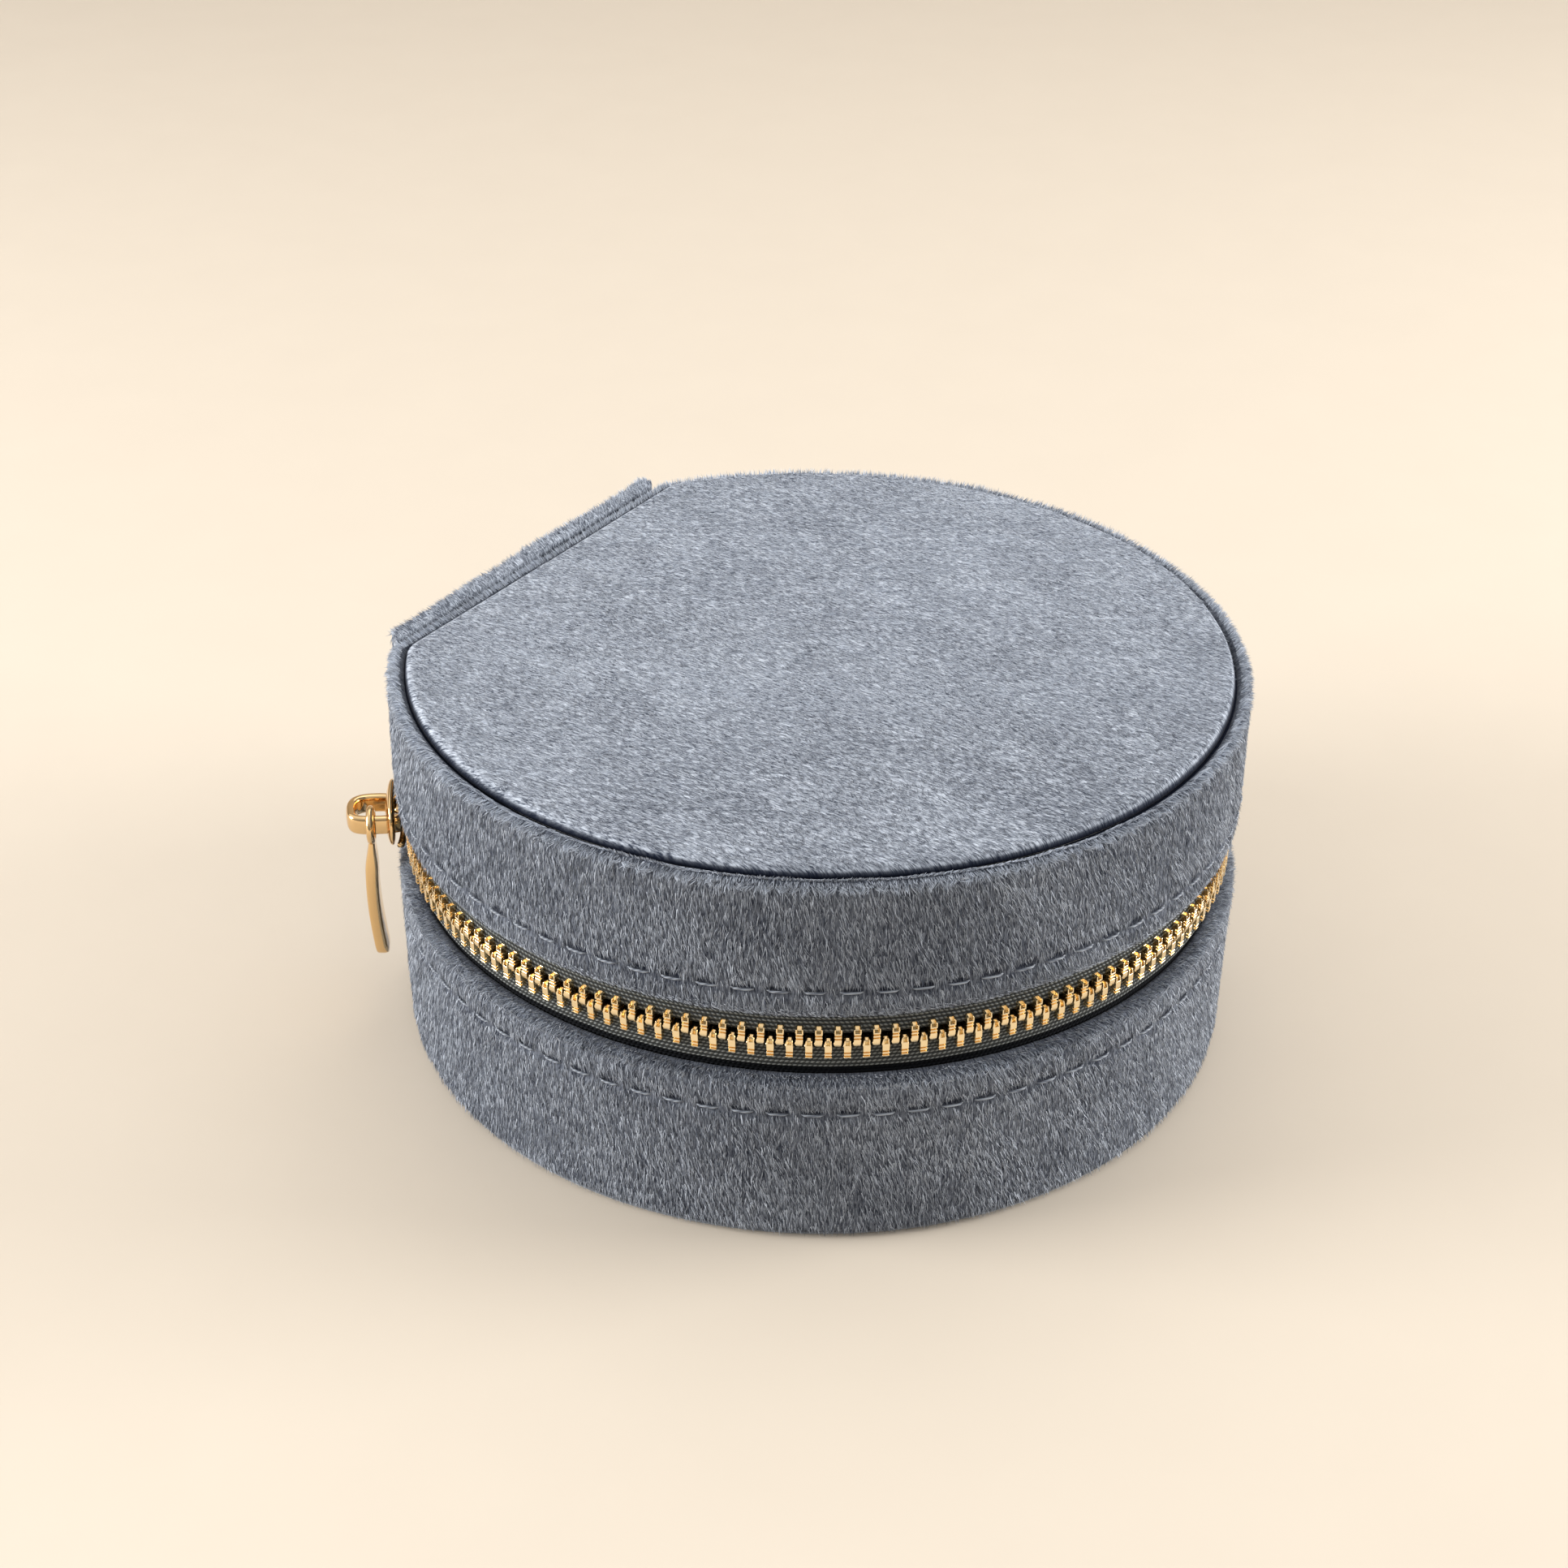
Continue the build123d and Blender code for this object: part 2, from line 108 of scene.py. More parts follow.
def layered_noise(x, y, seed, layers=3):
    """The sum of noises, each of half the size and half the height of the one before."""
    total = np.zeros(np.broadcast(x, y).shape)
    for layer in range(layers):
        scale = 2.0**layer
        total = total + lattice_noise(x * scale + 13.7 * layer, y * scale + 5.1 * layer, seed + layer) / scale
    return total / THREE_LAYERS


def outline(share, inset=0.0, corner=CORNER):
    """Points, outward normals and distances at shares of the way round the case's D-shaped plan. It starts
    at the middle of the flat back and goes towards -X: half the flat, an arc for the corner, the round wall
    as one arc, the other corner's arc and the other half of the flat."""
    radius, flat = RADIUS - inset, FLAT - inset
    centre_y = flat - corner
    centre_x = math.sqrt((radius - corner) ** 2 - centre_y**2)
    lean = math.atan2(centre_y, centre_x)
    turn = corner * (math.pi / 2 - lean)
    starts = np.cumsum([0, centre_x, turn, radius * (math.pi + 2 * lean), turn, centre_x])
    distance = np.asarray(share) * starts[-1]
    run = np.searchsorted(starts[1:5], distance, side="right")
    first = np.array([0.5 * math.pi, 0.5 * math.pi, math.pi - lean, 2 * math.pi + lean, 2.5 * math.pi])
    bend = np.array([0, 1 / corner, 1 / radius, 1 / corner, 0])
    angle = first[run] + (distance - starts[run]) * bend[run]
    middle_x = np.choose(run, [-distance, -centre_x, 0.0, centre_x, starts[-1] - distance])
    middle = np.stack([middle_x, np.where(run == 2, 0.0, centre_y)], -1)
    normal = np.stack([np.cos(angle), np.sin(angle)], -1)
    return middle + normal * np.where(run == 2, radius, corner)[..., None], normal, distance


def perimeter(inset=0.0, corner=CORNER):
    """The length of the D-shaped plan."""
    return float(outline(np.array([0.999999]), inset, corner)[2][0])


def softened(points, rounds=3):
    """Chaikin's corner cutting: each round puts two points on every run, a quarter in from its ends."""
    points = np.asarray(points, float)
    for _ in range(rounds):
        start, end = points[:-1], points[1:]
        cut = np.stack([start * 0.75 + end * 0.25, start * 0.25 + end * 0.75], 1).reshape(-1, points.shape[1])
        points = np.concatenate([points[:1], cut, points[-1:]])
    return points


def distances(points):
    """How far along an open line each of its points lies."""
    return np.concatenate([[0], np.cumsum(np.linalg.norm(np.diff(points, axis=0), axis=1))])


def evenly(points, step):
    """The same open line with its points about one step apart."""
    along = distances(points)
    at = np.linspace(0, along[-1], max(2, int(round(along[-1] / step)) + 1))
    return np.stack([np.interp(at, along, points[:, axis]) for axis in range(points.shape[1])], -1)


def raised(plan, z):
    """Points from their places in plan and their heights."""
    return np.concatenate([plan, np.broadcast_to(z, plan.shape[:-1])[..., None]], -1)


# ---- meshes ----
def linked(name, data):
    """An object for a mesh, lamp or camera, in the scene."""
    piece = bpy.data.objects.new(name, data)
    bpy.context.scene.collection.objects.link(piece)
    return piece


def write_mesh(name, points, faces, uvs=None, smooth=True, shade=None, layer="cloth"):
    """An object at the origin from points in millimetres, faces as index lists, one uv per face corner and,
    for velvet and tape, a painted shade per point: 0 where the pile is full and lit, 1 where it is painted nearly
    black, as shade in a fold, groove or dent."""
    mesh = bpy.data.meshes.new(name)
    mesh.from_pydata((np.asarray(points) * MM).tolist(), [], faces)
    if uvs is not None:
        mesh.uv_layers.new(name=layer).data.foreach_set("uv", np.asarray(uvs, np.float32).ravel())
    if shade is not None:
        held = mesh.attributes.new("shade", "FLOAT", "POINT")
        held.data.foreach_set("value", np.asarray(shade, np.float32).ravel())
    mesh.polygons.foreach_set("use_smooth", [smooth] * len(mesh.polygons))
    mesh.validate()
    return linked(name, mesh)


def grid_faces(columns, rows, wrap_columns, wrap_rows):
    """Quads of a grid of points, and each corner's own column and row before it wraps."""
    column = np.arange(columns if wrap_columns else columns - 1)
    row = np.arange(rows if wrap_rows else rows - 1)
    column, row = (part.ravel() for part in np.meshgrid(column, row, indexing="ij"))
    corner_column = np.stack([column, column + 1, column + 1, column], -1)
    corner_row = np.stack([row, row, row + 1, row + 1], -1)
    index = (corner_column % columns) * rows + corner_row % rows
    return index, corner_column, corner_row


def fans(first, last, count):
    """Triangles that close two rings of points, each round its middle, the last two of count points."""
    near = np.stack([first, np.roll(first, -1), np.full(len(first), count - 2)], -1)
    far = np.stack([np.roll(last, -1), last, np.full(len(last), count - 1)], -1)
    return np.concatenate([near, far])


def grid_piece(name, points, wrap=(True, True), cloth=None, ends=False, shade=None):
    """A piece from a grid of points. cloth gives the uv of every column and row, one more than the points
    where the grid wraps. With ends, the first and last column are closed by a fan round their middles."""
    columns, rows = points.shape[:2]
    index, corner_column, corner_row = grid_faces(columns, rows, *wrap)
    faces = index.tolist()
    uvs = None if cloth is None else cloth[corner_column, corner_row].reshape(-1, 2)
    flat = points.reshape(-1, 3)
    if shade is not None:
        shade = np.broadcast_to(shade, points.shape[:2]).ravel()
    if ends:
        shade = None if shade is None else np.concatenate([shade, [1.0, 1.0]])
        flat = np.concatenate([flat, [points[0].mean(0)], [points[-1].mean(0)]])
        ring = np.arange(rows)
        corners = fans(ring, ring + (columns - 1) * rows, len(flat))
        faces += corners.tolist()
        if uvs is not None:
            plain = np.concatenate([cloth[:columns, :rows].reshape(-1, 2), [cloth[0, 0]], [cloth[-1, 0]]])
            uvs = np.concatenate([uvs, plain[corners.ravel()]])
    return write_mesh(name, flat, faces, uvs, shade=shade)


def bar(name, points, cloth=None, shade=None):
    """A closed sweep: each column of points is a section, and the two ends are closed."""
    return grid_piece(name, points, (False, True), cloth, True, shade)


def repeated(name, points, smooth=True):
    """Many closed sweeps in one piece, from points by copy, column and row; each end is a single face."""
    count, columns, rows = points.shape[:3]
    index, _, _ = grid_faces(columns, rows, False, True)
    ring = np.arange(rows)
    caps = np.stack([ring[::-1], ring + rows * (columns - 1)])
    start = (np.arange(count) * columns * rows)[:, None, None]
    faces = (index[None] + start).reshape(-1, 4).tolist() + (caps[None] + start).reshape(-1, rows).tolist()
    return outward(write_mesh(name, points.reshape(-1, 3), faces, smooth=smooth))


def polar_piece(name, points, shade=None):
    """A closed piece from spokes of points, with a middle point on each of its two sides. Its cloth
    coordinates are its plan."""
    columns, rows = points.shape[:2]
    index, _, _ = grid_faces(columns, rows, True, False)
    flat = np.concatenate([points.reshape(-1, 3), [points[:, 0].mean(0)], [points[:, -1].mean(0)]])
    first = np.arange(columns) * rows
    caps = fans(first, first + rows - 1, len(flat))[:, [1, 0, 2]]
    corners = np.concatenate([index.ravel(), caps.ravel()])
    if shade is not None:
        shade = np.concatenate([shade.ravel(), [shade[0, 0], shade[0, -1]]])
    return outward(write_mesh(name, flat, index.tolist() + caps.tolist(), flat[corners][:, :2], shade=shade))


def cloth_uv(columns, rows):
    """The uv of a grid whose columns and rows lie at these distances, in millimetres."""
    return np.stack(np.meshgrid(columns, rows, indexing="ij"), -1)


def outward(piece):
    """Merge doubled points and turn every face outwards."""
    shape = bmesh.new()
    shape.from_mesh(piece.data)
    bmesh.ops.remove_doubles(shape, verts=shape.verts, dist=1e-7)
    bmesh.ops.recalc_face_normals(shape, faces=shape.faces)
    shape.to_mesh(piece.data)
    shape.free()
    return piece


def joined(name, pieces):
    """Several pieces as one, each turned outwards first."""
    shape = bmesh.new()
    for piece in pieces:
        mesh = outward(piece).data
        shape.from_mesh(mesh)
        bpy.data.objects.remove(piece)
        bpy.data.meshes.remove(mesh)
    mesh = bpy.data.meshes.new(name)
    shape.to_mesh(mesh)
    shape.free()
    return linked(name, mesh)


def bevelled(piece, width, segments, angle):
    """Round the edges that turn by more than an angle in degrees."""
    bevel = piece.modifiers.new("rolled_edges", "BEVEL")
    bevel.width = width * MM
    bevel.segments = segments
    bevel.limit_method = "ANGLE"
    bevel.angle_limit = math.radians(angle)
    return bevel


def stands_for(piece, body, material, slot, *nodes):
    """Finish a piece: its material, the body it rides on and the CAD nodes it stands for; slot is not used."""
    piece.data.materials.clear()
    piece.data.materials.append(material)
    if body:
        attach(piece, body)
    if nodes:
        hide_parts(*nodes)
    return piece


# ---- shader maths ----
def connect(tree, value, socket):
    """Link a value to a socket, or set the socket to a plain number, colour or vector."""
    if isinstance(value, Value):
        tree.links.new(value.socket, socket)
    elif hasattr(value, "__len__") and socket.type == "RGBA" and len(value) == 3:
        socket.default_value = (*value, 1.0)
    else:
        socket.default_value = value


def operator(operation, swapped=False):
    """A method of Value that adds a Math node, with the other value first where it is swapped."""

    def method(self, *others):
        node = self.tree.nodes.new("ShaderNodeMath")
        node.operation = operation
        values = (*others, self) if swapped else (self, *others)
        for slot, value in zip(node.inputs, values):
            connect(self.tree, value, slot)
        return Value(self.tree, node.outputs[0])

    return method


class Value:
    """A socket that takes part in arithmetic."""

    def __init__(self, tree, socket):
        self.tree = tree
        self.socket = socket

    __add__ = operator("ADD")
    __sub__ = operator("SUBTRACT")
    __mul__ = operator("MULTIPLY")
    __radd__ = operator("ADD", swapped=True)
    smaller = operator("MINIMUM")
    larger = operator("MAXIMUM")
    sine = operator("SINE")


class Finish:
    """A material made of nodes, ending in one Principled surface."""

    def __init__(self, name, **settings):
        self.material = bpy.data.materials.new(name)
        self.material.use_nodes = True
        self.tree = self.material.node_tree
        self.surface = self.tree.nodes["Principled BSDF"]
        self.set(**settings)

    def fill(self, node, values):
        """Set or link a node's inputs; an underscore in a name stands for a space."""
        for name, value in values.items():
            connect(self.tree, value, node.inputs[name.replace("_", " ")])

    def set(self, **values):
        self.fill(self.surface, values)

    def node(self, kind, settings=None, output=0, **inputs):
        """Any other node: its type, its settings, which are set first, and its inputs."""
        node = self.tree.nodes.new("ShaderNode" + kind)
        for name, value in (settings or {}).items():
            setattr(node, name, value)
        self.fill(node, inputs)
        return Value(self.tree, node.outputs[output])

    def split(self, vector):
        """The first and second coordinate of a vector."""
        node = self.node("SeparateXYZ", Vector=vector).socket.node
        return [Value(self.tree, socket) for socket in node.outputs[:2]]

    def cloth(self):
        """The piece's own cloth coordinates, in millimetres."""
        return self.node("UVMap", {"uv_map": "cloth"})

    def space(self):
        """Object coordinates, in metres."""
        return self.node("TexCoord", output=3)

    def shade(self):
        """Painted shade: 0 where the pile is full and lit, 1 where the cloth is painted nearly black, as shade in
        a fold, groove or dent.
        """
        return self.between(self.node("Attribute", {"attribute_name": "shade"}, 2), 0.0, 1.0)

    def scaled(self, vector, scale):
        return self.node("Mapping", Vector=vector, Scale=scale)

    def noise(self, vector, scale=1.0, detail=2.0, roughness=0.5, distortion=0.0):
        shape = {"Detail": detail, "Roughness": roughness, "Distortion": distortion}
        return self.node("TexNoise", Vector=vector, Scale=scale, **shape)

    def between(self, value, low, high):
        """0 below low, 1 above high and a smooth rise from one to the other."""
        smooth = {"interpolation_type": "SMOOTHSTEP"}
        return self.node("MapRange", smooth, Value=value, From_Min=low, From_Max=high)

    def mix(self, share, first, second):
        """One colour or another, by share."""
        node = self.tree.nodes.new("ShaderNodeMix")
        node.data_type = "RGBA"
        for slot, value in ((0, share), (6, first), (7, second)):
            connect(self.tree, value, node.inputs[slot])
        return Value(self.tree, node.outputs[2])

    def bump(self, height, distance):
        """A bump of this many millimetres on the surface's normal."""
        self.set(Normal=self.node("Bump", Height=height, Distance=distance * MM))


# ---- materials ----
# nearly black navy: the colour of painted shade in folds, grooves, dents and gaps
SHADE_NAVY = (0.007, 0.011, 0.026)
DARK = (0.050, 0.062, 0.090)
LIGHT = (0.680, 0.745, 0.850)
FIBRE_SHEET = "OFBake"
SHEEN = {"Sheen_Roughness": 0.3, "Sheen_Tint": (0.94, 0.96, 1.0)}


def velvet(name, dark=DARK, light=LIGHT):
    """The cloth under the pile: fine strands that run along its second coordinate, in broad patches of brushing,
    and painted shade, nearly black navy, where the shade attribute marks folds, the seam groove and stitch dents."""
    finish = Finish(name, Specular_IOR_Level=0.1, Sheen_Weight=0.12, **SHEEN)
    place = finish.cloth()
    strands = finish.noise(finish.scaled(place, (4.6, 0.75, 1)), 1.0, 3.0, 0.62, 0.5)
    hairs = finish.noise(finish.scaled(place, (9.66, 1.35, 1)), 1.0, 2.0, 0.6, 0.3)
    patch_tone = finish.noise(finish.scaled(place, (0.11, 0.08, 1)), 1.0, 2.0, 0.5, 0.6)
    tone = finish.between(strands * 0.6 + hairs * 0.4, 0.36, 0.66) * 0.9 + (patch_tone - 0.5) * 0.5
    finish.set(Base_Color=finish.mix(finish.shade(), finish.mix(tone, dark, light), SHADE_NAVY))
    finish.set(Roughness=0.78 + hairs * 0.2)
    finish.bump(strands * 0.7 + hairs * 0.3, 0.14)
    return finish.material


def fibre_finish(name):
    """Loose fibres share one sheet of colours: from dark to light along its first coordinate, and by the tone
    of the patch they stand in along its second, which carries painted light and shade."""
    finish = Finish(name, Specular_IOR_Level=0.2, Sheen_Weight=1.0, **SHEEN)
    own, patch_tone = finish.split(finish.node("UVMap", {"uv_map": FIBRE_SHEET}))
    grain = finish.noise(finish.space(), 2500.0, 1.0)
    tone = own * 0.85 + patch_tone * 0.5 - 0.22 + (grain - 0.5) * 0.25
    finish.set(Base_Color=finish.mix(tone.larger(0.0).smaller(1.0), DARK, LIGHT), Roughness=0.7 + grain * 0.3)
    return finish.material


def gold(name, colour, rough):
    """Polished light gold plating: faint clouding and fine polishing marks."""
    finish = Finish(name, Metallic=1.0)
    place = finish.space()
    cloud = finish.noise(place, 420.0, 3.0)
    marks = finish.noise(finish.scaled(place, (900, 900, 5200)), 1.0, 2.0)
    finish.set(Base_Color=finish.mix(cloud, colour, tuple(min(1, c * 1.1) for c in colour)))
    finish.set(Roughness=rough + marks * 0.09)
    finish.bump(marks * 0.4 + cloud * 0.6, 0.006)
    return finish.material


def woven_tape(name):
    """Woven tape: ribs half a millimetre apart, crossed by slanting threads, in dark grey with a green cast and
    nearly black in the low places of the weave, partly its pattern and partly painted shade; the part that goes
    under the velvet is painted nearly black, painted shade in the gap under the rims."""
    finish = Finish(name, Roughness=0.85, Specular_IOR_Level=0.15)
    along, across = finish.split(finish.cloth())
    rib = (across * 12.6).sine() * 0.5 + 0.5
    brick = (along * 11.0 + across * 6.3).sine() * 0.5 + 0.5
    grain = finish.noise(finish.scaled(finish.cloth(), (6, 6, 1)), 1.0, 3.0)
    height = rib * (brick * 0.75 + 0.25)
    # the weave's low places are painted near black: partly its pattern, partly painted shade between the ribs
    tone = finish.between(height, 0.05, 0.8) * 0.85 + grain * 0.3 - 0.08
    shown = finish.mix(tone, (0.010, 0.012, 0.013), (0.27, 0.29, 0.29))
    # painted shade: where the shade attribute is 1, past the selvedge, the tape is painted nearly black
    finish.set(Base_Color=finish.mix(finish.shade(), shown, (0.003, 0.004, 0.006)))
    finish.bump(height, 0.25)
    return finish.material


def suede(name, dark, light):
    """Flocked lining: even, matt, with a fine grain and slight clouds."""
    finish = Finish(name, Roughness=0.95, Specular_IOR_Level=0.15, Sheen_Weight=0.45, Sheen_Roughness=0.5)
    place = finish.space()
    grain = finish.noise(place, 3400.0, 3.0, 0.6)
    cloud = finish.noise(place, 70.0, 3.0, 0.55, 0.6)
    finish.set(Base_Color=finish.mix((grain - 0.5) * 1.5 + (cloud - 0.5) * 1.1 + 0.5, dark, light))
    finish.bump(grain, 0.1)
    return finish.material


def thread_finish(name):
    """Twisted sewing thread: slanting plies."""
    finish = Finish(name, Roughness=0.55, Sheen_Weight=0.3)
    plies = {"bands_direction": "DIAGONAL"}
    twist = finish.node("TexWave", plies, Vector=finish.space(), Scale=900.0, Distortion=1.0)
    finish.set(Base_Color=finish.mix(twist, (0.10, 0.12, 0.16), (0.30, 0.34, 0.40)))
    finish.bump(twist, 0.03)
    return finish.material


def board_finish(name):
    """Grey pressed board with flecks."""
    finish = Finish(name, Roughness=0.9)
    flecks = finish.noise(finish.space(), 1500.0, 4.0, 0.7)
    finish.set(Base_Color=finish.mix(flecks, (0.22, 0.20, 0.18), (0.46, 0.43, 0.39)))
    finish.bump(flecks, 0.03)
    return finish.material


def foam_finish(name):
    """Open-cell foam: small round cells."""
    finish = Finish(name, Roughness=0.95)
    cells = finish.node("TexVoronoi", {"feature": "SMOOTH_F1"}, Vector=finish.space(), Scale=1900.0)
    finish.set(Base_Color=finish.mix(cells, (0.36, 0.36, 0.35), (0.70, 0.70, 0.68)))
    finish.bump(cells, 0.12)
    return finish.material


def mirror_finish(name):
    """Silvered glass, very slightly uneven."""
    finish = Finish(name, Metallic=1.0)
    drift = finish.noise(finish.space(), 25.0, 2.0)
    finish.set(Base_Color=finish.mix(drift, (0.86, 0.88, 0.88), (0.91, 0.93, 0.93)))
    finish.set(Roughness=0.015 + drift * 0.02)
    return finish.material


def floor_finish(name):
    """A pale, plain tabletop with a barely visible tooth."""
    finish = Finish(name, Roughness=0.75, Specular_IOR_Level=0.2)
    tooth = finish.noise(finish.space(), 60.0, 3.0)
    finish.set(Base_Color=finish.mix(tooth, (0.626, 0.556, 0.467), (0.646, 0.576, 0.485)))
    return finish.material


# the walls' velvet is a darker copy of the top's: painted shade on the walls and between their fibres
shaded_side_velvet = velvet("velvet_side", (0.020, 0.025, 0.040), (0.200, 0.225, 0.275))
panel_velvet = velvet("velvet_panel")
strip_velvet = velvet("velvet_strip")
fibre_velvet = fibre_finish("velvet_fibre")
zip_gold = gold("zip_gold", (0.90, 0.73, 0.46), 0.15)
slider_gold = gold("slider_gold", (0.75, 0.52, 0.265), 0.08)
tape_cloth = woven_tape("zip_tape_cloth")
thread_cloth = thread_finish("sewing_thread")
roll_velvet = velvet("velvet_rolls", (0.11, 0.13, 0.17), (0.33, 0.38, 0.46))
cover_cloth = suede("cover_cloth", (0.07, 0.085, 0.11), (0.22, 0.25, 0.30))
lining_cloth = suede("lining_suede", (0.20, 0.235, 0.29), (0.40, 0.45, 0.53))


# ---- velvet walls ----
SKIN_DEPTH = 0.28
STITCH = 4.0
LID_SEAM = LID_RIM + 4.1
BASE_SEAM = BASE_RIM - 4.85
LID_HEM = LID_RIM + 0.45
BASE_HEM = BASE_RIM - 0.85


def wall_skin(name, visible, hidden, seed, seam_z):
    """A velvet wall: a closed profile of (inset, z) points carried round the case's plan. The visible run
    swells and dips slowly, is ruffled by the nap and pulled in at each stitch. It gives the piece and the
    grid of its visible run."""
    step, nap, swelling, stitch_depth = 0.5, 0.06, 0.16, 0.38
    shown = evenly(softened(visible) + np.array([SKIN_DEPTH, 0.0]), step)
    back = evenly(np.asarray(hidden, float), 2.0)
    profile = np.concatenate([shown, back[1:-1]])
    on_show = np.arange(len(profile)) < len(shown)
    count = int(perimeter() / (1.12 * step))
    place, normal, distance = outline(np.arange(count) / count)
    slope = np.gradient(profile, axis=0)
    slope /= np.linalg.norm(slope, axis=1, keepdims=True)
    amount = np.zeros(len(profile))
    amount[on_show] = np.sin(np.linspace(0, math.pi, len(shown))) ** 0.25
    run = distances(profile)
    around, along = np.meshgrid(distance, run, indexing="ij")
    ruffle = layered_noise(around / 0.8, along / 2.6, seed) * nap
    swell = lattice_noise(around / 17.0, along / 14.0, seed + 9) * swelling
    beside = np.exp(-(((profile[:, 1] - seam_z) / 0.55) ** 2)) * on_show
    in_stitch = stitch_wave(distance)[:, None] * beside
    lift = (ruffle + swell) * amount - in_stitch * stitch_depth - beside * 0.08
    inset = profile[:, 0] - slope[:, 1] * lift
    points = raised(place[:, None] - normal[:, None] * inset[..., None], profile[:, 1] + slope[:, 0] * lift)
    cloth = cloth_uv(np.append(distance, perimeter()), np.append(run, run[-1] + 1.0))
    # painted shade: the hidden run is nearly black, and the visible run darkens within a millimetre of its ends,
    # where it turns under the hem or into the seam, and in each stitch's dent
    order = np.arange(len(shown))
    shade = np.ones(len(profile))
    shade[on_show] = np.clip(1.4 - np.minimum(order, order[::-1]) * step / 0.9, 0, 1)
    piece = outward(grid_piece(name, points, cloth=cloth, shade=np.maximum(shade, in_stitch * 0.75)))
    return piece, np.concatenate([points, points[:1]])[:, : len(shown)]


def stitch_wave(distance):
    """1 inside each stitch along the wall, 0 in the gaps between them."""
    place = (np.asarray(distance) / STITCH) % 1
    return np.clip((0.33 - np.abs(place - 0.5)) / 0.05, 0, 1)


def stitches(name, body, inset, z):
    """A stitch line: short, slightly bowed runs of thread with sunken ends, all round the front wall."""
    reach, thread, dip = 1.3, 0.13, 0.28
    places, normals, _ = outline((np.arange(int(perimeter() / STITCH)) + 0.5) * STITCH / perimeter())
    front = places[:, 1] < FLAT - 2.5
    places, normals = places[front][:, None, None], normals[front][:, None, None]
    tangents = np.stack([-normals[..., 1], normals[..., 0]], -1)
    along = np.linspace(-reach, reach, 7)[:, None]
    size = thread * np.sqrt(np.clip(1 - (along / (reach + 0.06)) ** 6, 0.02, 1))
    turn = np.arange(8) * math.pi / 4
    out = 0.02 - inset - dip * (along / reach) ** 4 + size * np.cos(turn)
    plan = places + tangents * along[..., None] + normals * out[..., None]
    piece = repeated(name, raised(plan, z - 0.12 + size * np.sin(turn)))
    stands_for(piece, body, thread_cloth, "velvet_blue_grey")


def needles(name, roots, lean, length, width, tone, body, seed):
    """Separate fibres, each a four-faced needle from its root along its own direction. tone is a pair of
    places from 0 to 1 on the fibres' sheet of colours."""
    count, patch, margin = len(roots), 0.016, 0.01
    rng = np.random.default_rng(seed)
    lean = lean / np.linalg.norm(lean, axis=1, keepdims=True)
    other = np.cross(lean, rng.normal(size=(count, 3)))
    other /= np.linalg.norm(other, axis=1, keepdims=True)
    turn = np.arange(3) * 2 * math.pi / 3
    ring = other[:, None] * np.cos(turn)[:, None] + np.cross(lean, other)[:, None] * np.sin(turn)[:, None]
    base = roots[:, None] + ring * (width / 2)[:, None, None]
    tip = roots + lean * length[:, None]
    points = np.concatenate([base, tip[:, None]], 1).reshape(-1, 3)
    faces = np.array([[0, 2, 1], [0, 1, 3], [1, 2, 3], [2, 0, 3]])[None] + 4 * np.arange(count)[:, None, None]
    corner = np.array([[0, 0], [1, 0], [0, 1], [1, 1]]) * patch
    spot = margin + np.clip(tone, 0, 1) * 0.96
    own = np.arange(count)[:, None]
    uvs = (spot[:, None] + corner[None])[own, faces.reshape(count, 12) % 4].reshape(-1, 2)
    piece = write_mesh(name, points, faces.reshape(-1, 3).tolist(), uvs, smooth=False, layer=FIBRE_SHEET)
    return stands_for(piece, body, fibre_velvet, "velvet_blue_grey")


def scattered(grid, count, seed, keep=None):
    """Places spread evenly by area over a grid of points, with the surface's normal at each."""
    rng = np.random.default_rng(seed)
    a, b, c, d = grid[:-1, :-1], grid[1:, :-1], grid[1:, 1:], grid[:-1, 1:]
    face = np.cross(c - a, d - b)
    area = np.linalg.norm(face, axis=-1)
    weight = area if keep is None else area * keep((a + c) / 2)
    cell = rng.choice(weight.size, count, p=(weight / weight.sum()).ravel())
    s, t = rng.random((count, 1)), rng.random((count, 1))
    a, b, c, d = (part.reshape(-1, 3)[cell] for part in (a, b, c, d))
    place = (a * (1 - s) + b * s) * (1 - t) + (d * (1 - s) + c * s) * t
    normal = face.reshape(-1, 3)[cell] / area.ravel()[cell][:, None]
    return place, normal, rng


